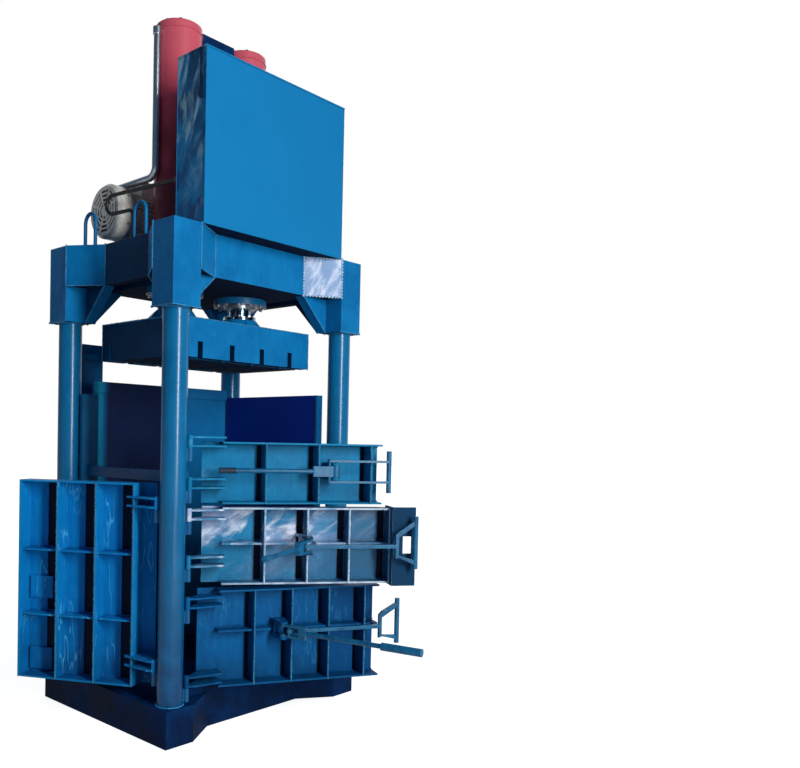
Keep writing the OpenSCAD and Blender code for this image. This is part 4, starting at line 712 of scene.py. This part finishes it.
# Weld paint: a little paler than the plate, because it stands out and gets rubbed
weldPaint = {"wearAndHighlight": 0.0, "grimeAndShadeAmount": 0.0, "cornerRadius": 0.001}
frameWeldPaint = {**weldPaint, "base": (0.008, 0.20, 0.42), "deep": (0.004, 0.11, 0.28),
    "pale": (0.03, 0.30, 0.54), "edge": (0.1, 0.4, 0.6), "blotchScale": 12.0, "blotch": 0.5, "thin": 0.4,
    "shift": 5.0}
frameWeldEnamel = enamel("frameWeldEnamel", frameWeldPaint)
doorWeldPaint = {**weldPaint, "base": (0.008, 0.17, 0.31), "deep": (0.004, 0.09, 0.20),
    "pale": (0.06, 0.30, 0.44), "edge": (0.1, 0.4, 0.6), "blotchScale": 16.0, "blotch": 0.6, "thin": 0.5,
    "shift": 6.0}
doorWeldEnamel = enamel("doorWeldEnamel", doorWeldPaint)
# Painted highlight: glints on the weld beads of the front right corner plate and the middle door
weldHighlightPaint = {**weldPaint, "base": (0.42, 0.60, 0.74), "deep": (0.03, 0.22, 0.40),
    "pale": (0.80, 0.90, 0.94), "edge": (0.9, 0.95, 1.0), "blotchScale": 20.0, "blotch": 0.6, "thin": 0.9,
    "shift": 7.0}
brightWeldEnamel = enamel("brightWeldEnamel", weldHighlightPaint)

# Welds on the fixed frame
frameWelds = {"spacing": 0.009, "radius": 0.006, "unevenness": 0.25, "seed": 11}
m = machine
frameLines, plateLines = [], []
for sx in (-1, 1):
    for sy in (-1, 1):
        innerX, outerX = sx * (m["columnX"] - m["sleeveHalf"]), sx * (m["columnX"] + m["sleeveHalf"])
        innerY, outerY = sy * (m["columnY"] - m["sleeveHalf"]), sy * (m["columnY"] + m["sleeveHalf"])
        low, high, sleeveLow = m["beamLow"], m["crossheadTop"], m["sleeveLow"]
        shining = plateLines if (sx, sy) == (1, -1) else frameLines
        shining += [
            [(innerX, outerY, low), (innerX, outerY, high)],
            [(sx * m["webHalfX"], sy * m["webY"], low), (sx * m["webHalfX"], sy * m["webY"], high)],
            [(innerX, outerY, low), (sx * m["webHalfX"], sy * m["webY"], low)],
            [(innerX, outerY, high), (sx * m["webHalfX"], sy * m["webY"], high)],
        ]
        frameLines += [
            [(outerX, innerY, low), (outerX, innerY, high)],
            [(sx * m["webX"], sy * m["webHalfY"], low), (sx * m["webX"], sy * m["webHalfY"], high)],
            [(outerX, innerY, low), (sx * m["webX"], sy * m["webHalfY"], low)],
            [(sx * m["webHalfX"], sy * m["webY"], low), (innerX, sy * m["webY"], sleeveLow)],
            [(sx * m["webX"], sy * m["webHalfY"], low), (sx * m["webX"], innerY, sleeveLow)],
            [(innerX, outerY, sleeveLow), (outerX, outerY, sleeveLow), (outerX, innerY, sleeveLow)],
            ringLine(sx * m["columnX"], sy * m["columnY"], sleeveLow - 0.002, m["columnRadius"] + 0.003),
            ringLine(sx * m["columnX"], sy * m["columnY"], m["footTop"] + 0.002, m["columnRadius"] + 0.003),
        ]
weld("frameWeldBeads", frameLines, frameWelds, "frame", frameWeldEnamel)
weld("plateWeldBeads", plateLines, {**frameWelds, "spacing": 0.02, "radius": 0.0075, "seed": 15}, "frame",
    brightWeldEnamel)

# Thin seams of the oil tank
tankSeams = {"spacing": 0.006, "radius": 0.0032, "unevenness": 0.15, "seed": 12, "inset": 0.003}
tankLow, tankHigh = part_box("oil_tank")
inset = tankSeams["inset"]
left, right, front, back = tankLow.x + inset, tankHigh.x - inset, tankLow.y + inset, tankHigh.y - inset
seamLow = tankLow.z + 0.002
tankLines = [[(x, y, tankLow.z), (x, y, tankHigh.z - 0.01)] for x in (left, right) for y in (front, back)]
tankLines += [[(x, y, seamLow) for x, y in ((left, front), (right, front), (right, back), (left, back),
            (left, front))]]
weld("tankSeamBeads", tankLines, tankSeams, "frame", tankEnamel)

# Seams round the cylinders
cylinderSeams = {"spacing": 0.009, "radius": 0.0055, "unevenness": 0.2, "seed": 13, "ring": 0.1385,
    "heights": (4.049, 2.772)}
cylinderPlaces = (-m["cylinderX"], m["cylinderX"])
weld("cylinderSeamBeads", [ringLine(x, 0.0, z, cylinderSeams["ring"]) for x in cylinderPlaces
        for z in cylinderSeams["heights"]], cylinderSeams, "frame",
    nodes["cylinder_left"].material_slots[0].material)

# Welds on the platen
platenWelds = {"spacing": 0.009, "radius": 0.005, "unevenness": 0.25, "seed": 14, "top": 2.311, "ring": 0.166}
platenLow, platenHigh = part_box("platen")
platenTop = platenWelds["top"]
corners = [(platenLow.x, platenLow.y), (platenHigh.x, platenLow.y), (platenHigh.x, platenHigh.y),
    (platenLow.x, platenHigh.y)]
platenLines = [[(x, y, platenLow.z), (x, y, platenTop)] for x, y in corners]
platenLines += [[(x, y, platenTop) for x, y in corners + corners[:1]]]
platenLines += [ringLine(x, 0.0, platenTop + 0.003, platenWelds["ring"]) for x in cylinderPlaces]
weld("platenWeldBeads", platenLines, platenWelds, "press", frameWeldEnamel)

# Welds on each door: along the outer edge of every rib, and where ribs and flanges meet the plate
doorWelds = {"spacing": 0.009, "edgeRadius": 0.0058, "rootRadius": 0.0045, "unevenness": 0.45,
    "rootUnevenness": 0.3, "edgeSeed": 20, "rootSeed": 30}
for number, (name, door) in enumerate(doors.items()):
    bodyName = name + "_door"
    outer, root = door["skin"] - ribDepth, door["skin"] - 0.002
    low, high = door["low"], door["low"] + door["height"]
    ribs = [share * door["length"] + door["ribGap"] for share in door["slots"]]
    edgeLines, rootLines = [], []
    for rib in ribs:
        middle = rib + ribThickness / 2
        edgeLines.append([doorPoint(name, middle, outer, low + 0.006),
                doorPoint(name, middle, outer, high - 0.006)])
        for side in (-0.002, ribThickness + 0.002):
            rootLines.append([doorPoint(name, rib + side, root, low + 0.014),
                    doorPoint(name, rib + side, root, high - 0.014)])
    for z in (low + ribThickness + 0.002, high - ribThickness - 0.002):
        rootLines.append([doorPoint(name, door["flangeStart"], root, z),
                doorPoint(name, door["length"], root, z)])
    for level, start, end in door["mids"]:
        for z in (low + level - 0.002, low + level + ribThickness + 0.002):
            rootLines.append([doorPoint(name, start, root, z), doorPoint(name, end, root, z)])
    finish = brightWeldEnamel if name == "middle" else doorWeldEnamel
    edgeValues = {**doorWelds, "radius": doorWelds["edgeRadius"], "seed": doorWelds["edgeSeed"] + number}
    weld(name + "DoorRibWelds", edgeLines, edgeValues, bodyName, finish)
    rootValues = {**doorWelds, "radius": doorWelds["rootRadius"], "unevenness": doorWelds["rootUnevenness"],
        "seed": doorWelds["rootSeed"] + number}
    weld(name + "DoorRootWelds", rootLines, rootValues, bodyName, nodes[bodyName].material_slots[0].material)
print("welds made")

# Screws on the caps, the terminal box, the fan cowl and the motor's feet
screwSteel = metal("screwSteel", {"base": (0.42, 0.42, 0.43), "stainColor": (0.12, 0.09, 0.07), "stain": 0.6,
        "glossLow": 0.3, "glossHigh": 0.5})
capScrews = {"count": 8, "circle": 0.105, "turn": 0.2, "head": 0.012, "headHeight": 0.010, "washer": 0.017,
    "washerHeight": 0.002, "seed": 1}
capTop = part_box("end_caps")[1].z
ring, count = capScrews["circle"], capScrews["count"]
angles = [2 * math.pi * i / count + capScrews["turn"] for i in range(count)]
places = [((x + ring * math.cos(a), ring * math.sin(a), capTop), (0, 0, 1))
    for x in cylinderPlaces for a in angles]
screws("capScrews", places, capScrews, "frame", screwSteel)

smallScrews = {"head": 0.006, "headHeight": 0.004, "washer": 0.008, "washerHeight": 0.001, "seed": 2,
    "boxInset": 0.012, "cowlCount": 6, "cowlRing": 0.165, "cowlInset": 0.02, "footInset": 0.09,
    "footRows": (0.23, 0.44), "footTop": 2.788}
boxLow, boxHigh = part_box("terminal_box")
inset, ring, footInset = smallScrews["boxInset"], smallScrews["cowlRing"], smallScrews["footInset"]
places = [((x, y, boxHigh.z), (0, 0, 1))
    for x in (boxLow.x + inset, boxHigh.x - inset) for y in (boxLow.y + inset, boxHigh.y - inset)]
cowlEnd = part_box("fan_cowl")[1].x - smallScrews["cowlInset"]
for i in range(smallScrews["cowlCount"]):
    a = math.radians(30 + 60 * i)
    places.append(((cowlEnd, m["motorY"] + ring * math.cos(a), m["motorZ"] + ring * math.sin(a)),
            (0, math.cos(a), math.sin(a))))
bodyLow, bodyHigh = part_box("motor_body")
for x in (bodyLow.x + footInset, bodyHigh.x - footInset):
    for y in smallScrews["footRows"]:
        places.append(((x, y, smallScrews["footTop"]), (0, 0, 1)))
screws("motorScrews", places, smallScrews, "frame", screwSteel)
print("screws made")

# Floor, backdrop and light
stage = {"floorColor": (0.50, 0.51, 0.52), "glowNear": 0.84, "glowFar": 1.0, "near": 2.6, "far": 6.5,
    "floorInGloss": 0.35, "frontAmbient": (0.16, 0.18, 0.20), "leftAmbient": (0.05, 0.08, 0.17),
    "backAmbient": (0.62, 0.64, 0.66), "room": (0.05, 0.08, 0.12), "roomHeading": (-0.72, -0.69, 0.0),
    "floorRough": 0.8, "floorSpecular": 0.1, "floorHalf": 40, "floorDrop": 0.001}
floorMesh = bpy.data.meshes.new("floor")
half, floorZ = stage["floorHalf"], -stage["floorDrop"]
floorCorners = [(-half, -half, floorZ), (half, -half, floorZ), (half, half, floorZ), (-half, half, floorZ)]
floorMesh.from_pydata(floorCorners, [], [(0, 1, 2, 3)])
floor = bpy.data.objects.new("floor", floorMesh)
scene.collection.objects.link(floor)
floorMaterial, tree, shader = startMaterial("paleFloor")
shader.inputs["Base Color"].default_value = rgba(stage["floorColor"])
shader.inputs["Roughness"].default_value = stage["floorRough"]
shader.inputs["Specular IOR Level"].default_value = stage["floorSpecular"]
rays = addNode(tree, "ShaderNodeLightPath").outputs
mirrored = calc(tree, "MULTIPLY", rays["Is Glossy Ray"], stage["floorInGloss"])
seen = calc(tree, "MAXIMUM", calc(tree, "MAXIMUM", rays["Is Camera Ray"], mirrored),
    rays["Is Transmission Ray"])
away = addNode(tree, "ShaderNodeVectorMath", {"operation": "LENGTH"}, {0: objectPlace(tree)}).outputs["Value"]
glowing = remap(tree, away, stage["near"], stage["far"], stage["glowNear"], stage["glowFar"], smooth=True)
glow = addNode(tree, "ShaderNodeEmission", None, {"Color": (1, 1, 1, 1),
        "Strength": calc(tree, "MULTIPLY", seen, glowing)})
total = addNode(tree, "ShaderNodeAddShader", None, {0: shader.outputs[0], 1: glow.outputs[0]})
tree.links.new(total.outputs[0], tree.nodes["Material Output"].inputs["Surface"])
floorMesh.materials.append(floorMaterial)

world = bpy.data.worlds.new("studio")
scene.world = world
world.use_nodes = True
tree = world.node_tree
rays = addNode(tree, "ShaderNodeLightPath").outputs
seen = calc(tree, "MAXIMUM", calc(tree, "MAXIMUM", rays["Is Camera Ray"], rays["Is Glossy Ray"]),
    rays["Is Transmission Ray"])
heading = addNode(tree, "ShaderNodeTexCoord").outputs["Generated"]
toRoom = dot(tree, heading, stage["roomHeading"])
roomSide = calc(tree, "MULTIPLY", remap(tree, toRoom, -0.8, -0.3), rays["Is Glossy Ray"])
backdrop = mixColor(tree, roomSide, (1, 1, 1, 1), rgba(stage["room"]))
parts = axesOf(tree, heading)
around = mixColor(tree, remap(tree, parts["X"], -0.1, -0.8), rgba(stage["frontAmbient"]),
    rgba(stage["leftAmbient"]))
behind = calc(tree, "MAXIMUM", remap(tree, parts["Y"], 0.2, 0.7), remap(tree, parts["X"], 0.4, 0.9))
around = mixColor(tree, behind, around, rgba(stage["backAmbient"]))
tree.links.new(mixColor(tree, seen, around, backdrop), tree.nodes["Background"].inputs["Color"])

lamps = {
    "keyLight": {"place": (-1.4, -7.3, 3.3), "aim": (-0.1, -0.5, 1.9), "width": 0.75, "height": 4.0,
        "power": 470.0},
    "lowLight": {"place": (-2.25, -5.5, 0.6), "aim": (-0.1, -1.0, 1.0), "width": 1.1, "height": 0.9,
        "power": 8.0},
}
for name, lampLook in lamps.items():
    lamp = bpy.data.lights.new(name, "AREA")
    lamp.shape = "RECTANGLE"
    lamp.size, lamp.size_y, lamp.energy = lampLook["width"], lampLook["height"], lampLook["power"]
    lampObject = bpy.data.objects.new(name, lamp)
    lampObject.location = lampLook["place"]
    aim = Vector(lampLook["aim"]) - Vector(lampLook["place"])
    lampObject.rotation_euler = aim.to_track_quat("-Z", "Y").to_euler()
    lampObject.visible_camera = False
    scene.collection.objects.link(lampObject)

# Camera at the photograph's viewing angle
view = {"place": (-3.348, -4.014, 1.633), "yaw": -46.393, "pitch": -1.426, "roll": 1.168, "focal": 819.045,
    "centre": (300.0, 460.0), "frameWidth": 800.0, "frameHeight": 768.0, "sensor": 36.0}
yaw, pitch, roll = (math.radians(view[k]) for k in ("yaw", "pitch", "roll"))
forward = Vector((math.sin(-yaw) * math.cos(pitch), math.cos(yaw) * math.cos(pitch), math.sin(pitch)))
level = Vector((math.cos(-yaw), -math.sin(-yaw), 0.0))
above = level.cross(forward)
sideways = math.cos(roll) * level + math.sin(roll) * above
upwards = -math.sin(roll) * level + math.cos(roll) * above
cameraData = bpy.data.cameras.new("camera")
cameraData.sensor_fit = "HORIZONTAL"
cameraData.sensor_width = view["sensor"]
cameraData.lens = view["focal"] / view["frameWidth"] * view["sensor"]
cameraData.shift_x = (view["frameWidth"] / 2 - view["centre"][0]) / view["frameWidth"]
cameraData.shift_y = (view["centre"][1] - view["frameHeight"] / 2) / view["frameWidth"]
camera = bpy.data.objects.new("camera", cameraData)
turn = Matrix((sideways, upwards, -forward)).transposed().to_4x4()
turn.translation = Vector(view["place"])
camera.matrix_world = turn
scene.collection.objects.link(camera)
scene.camera = camera
print("stage, light and camera set")
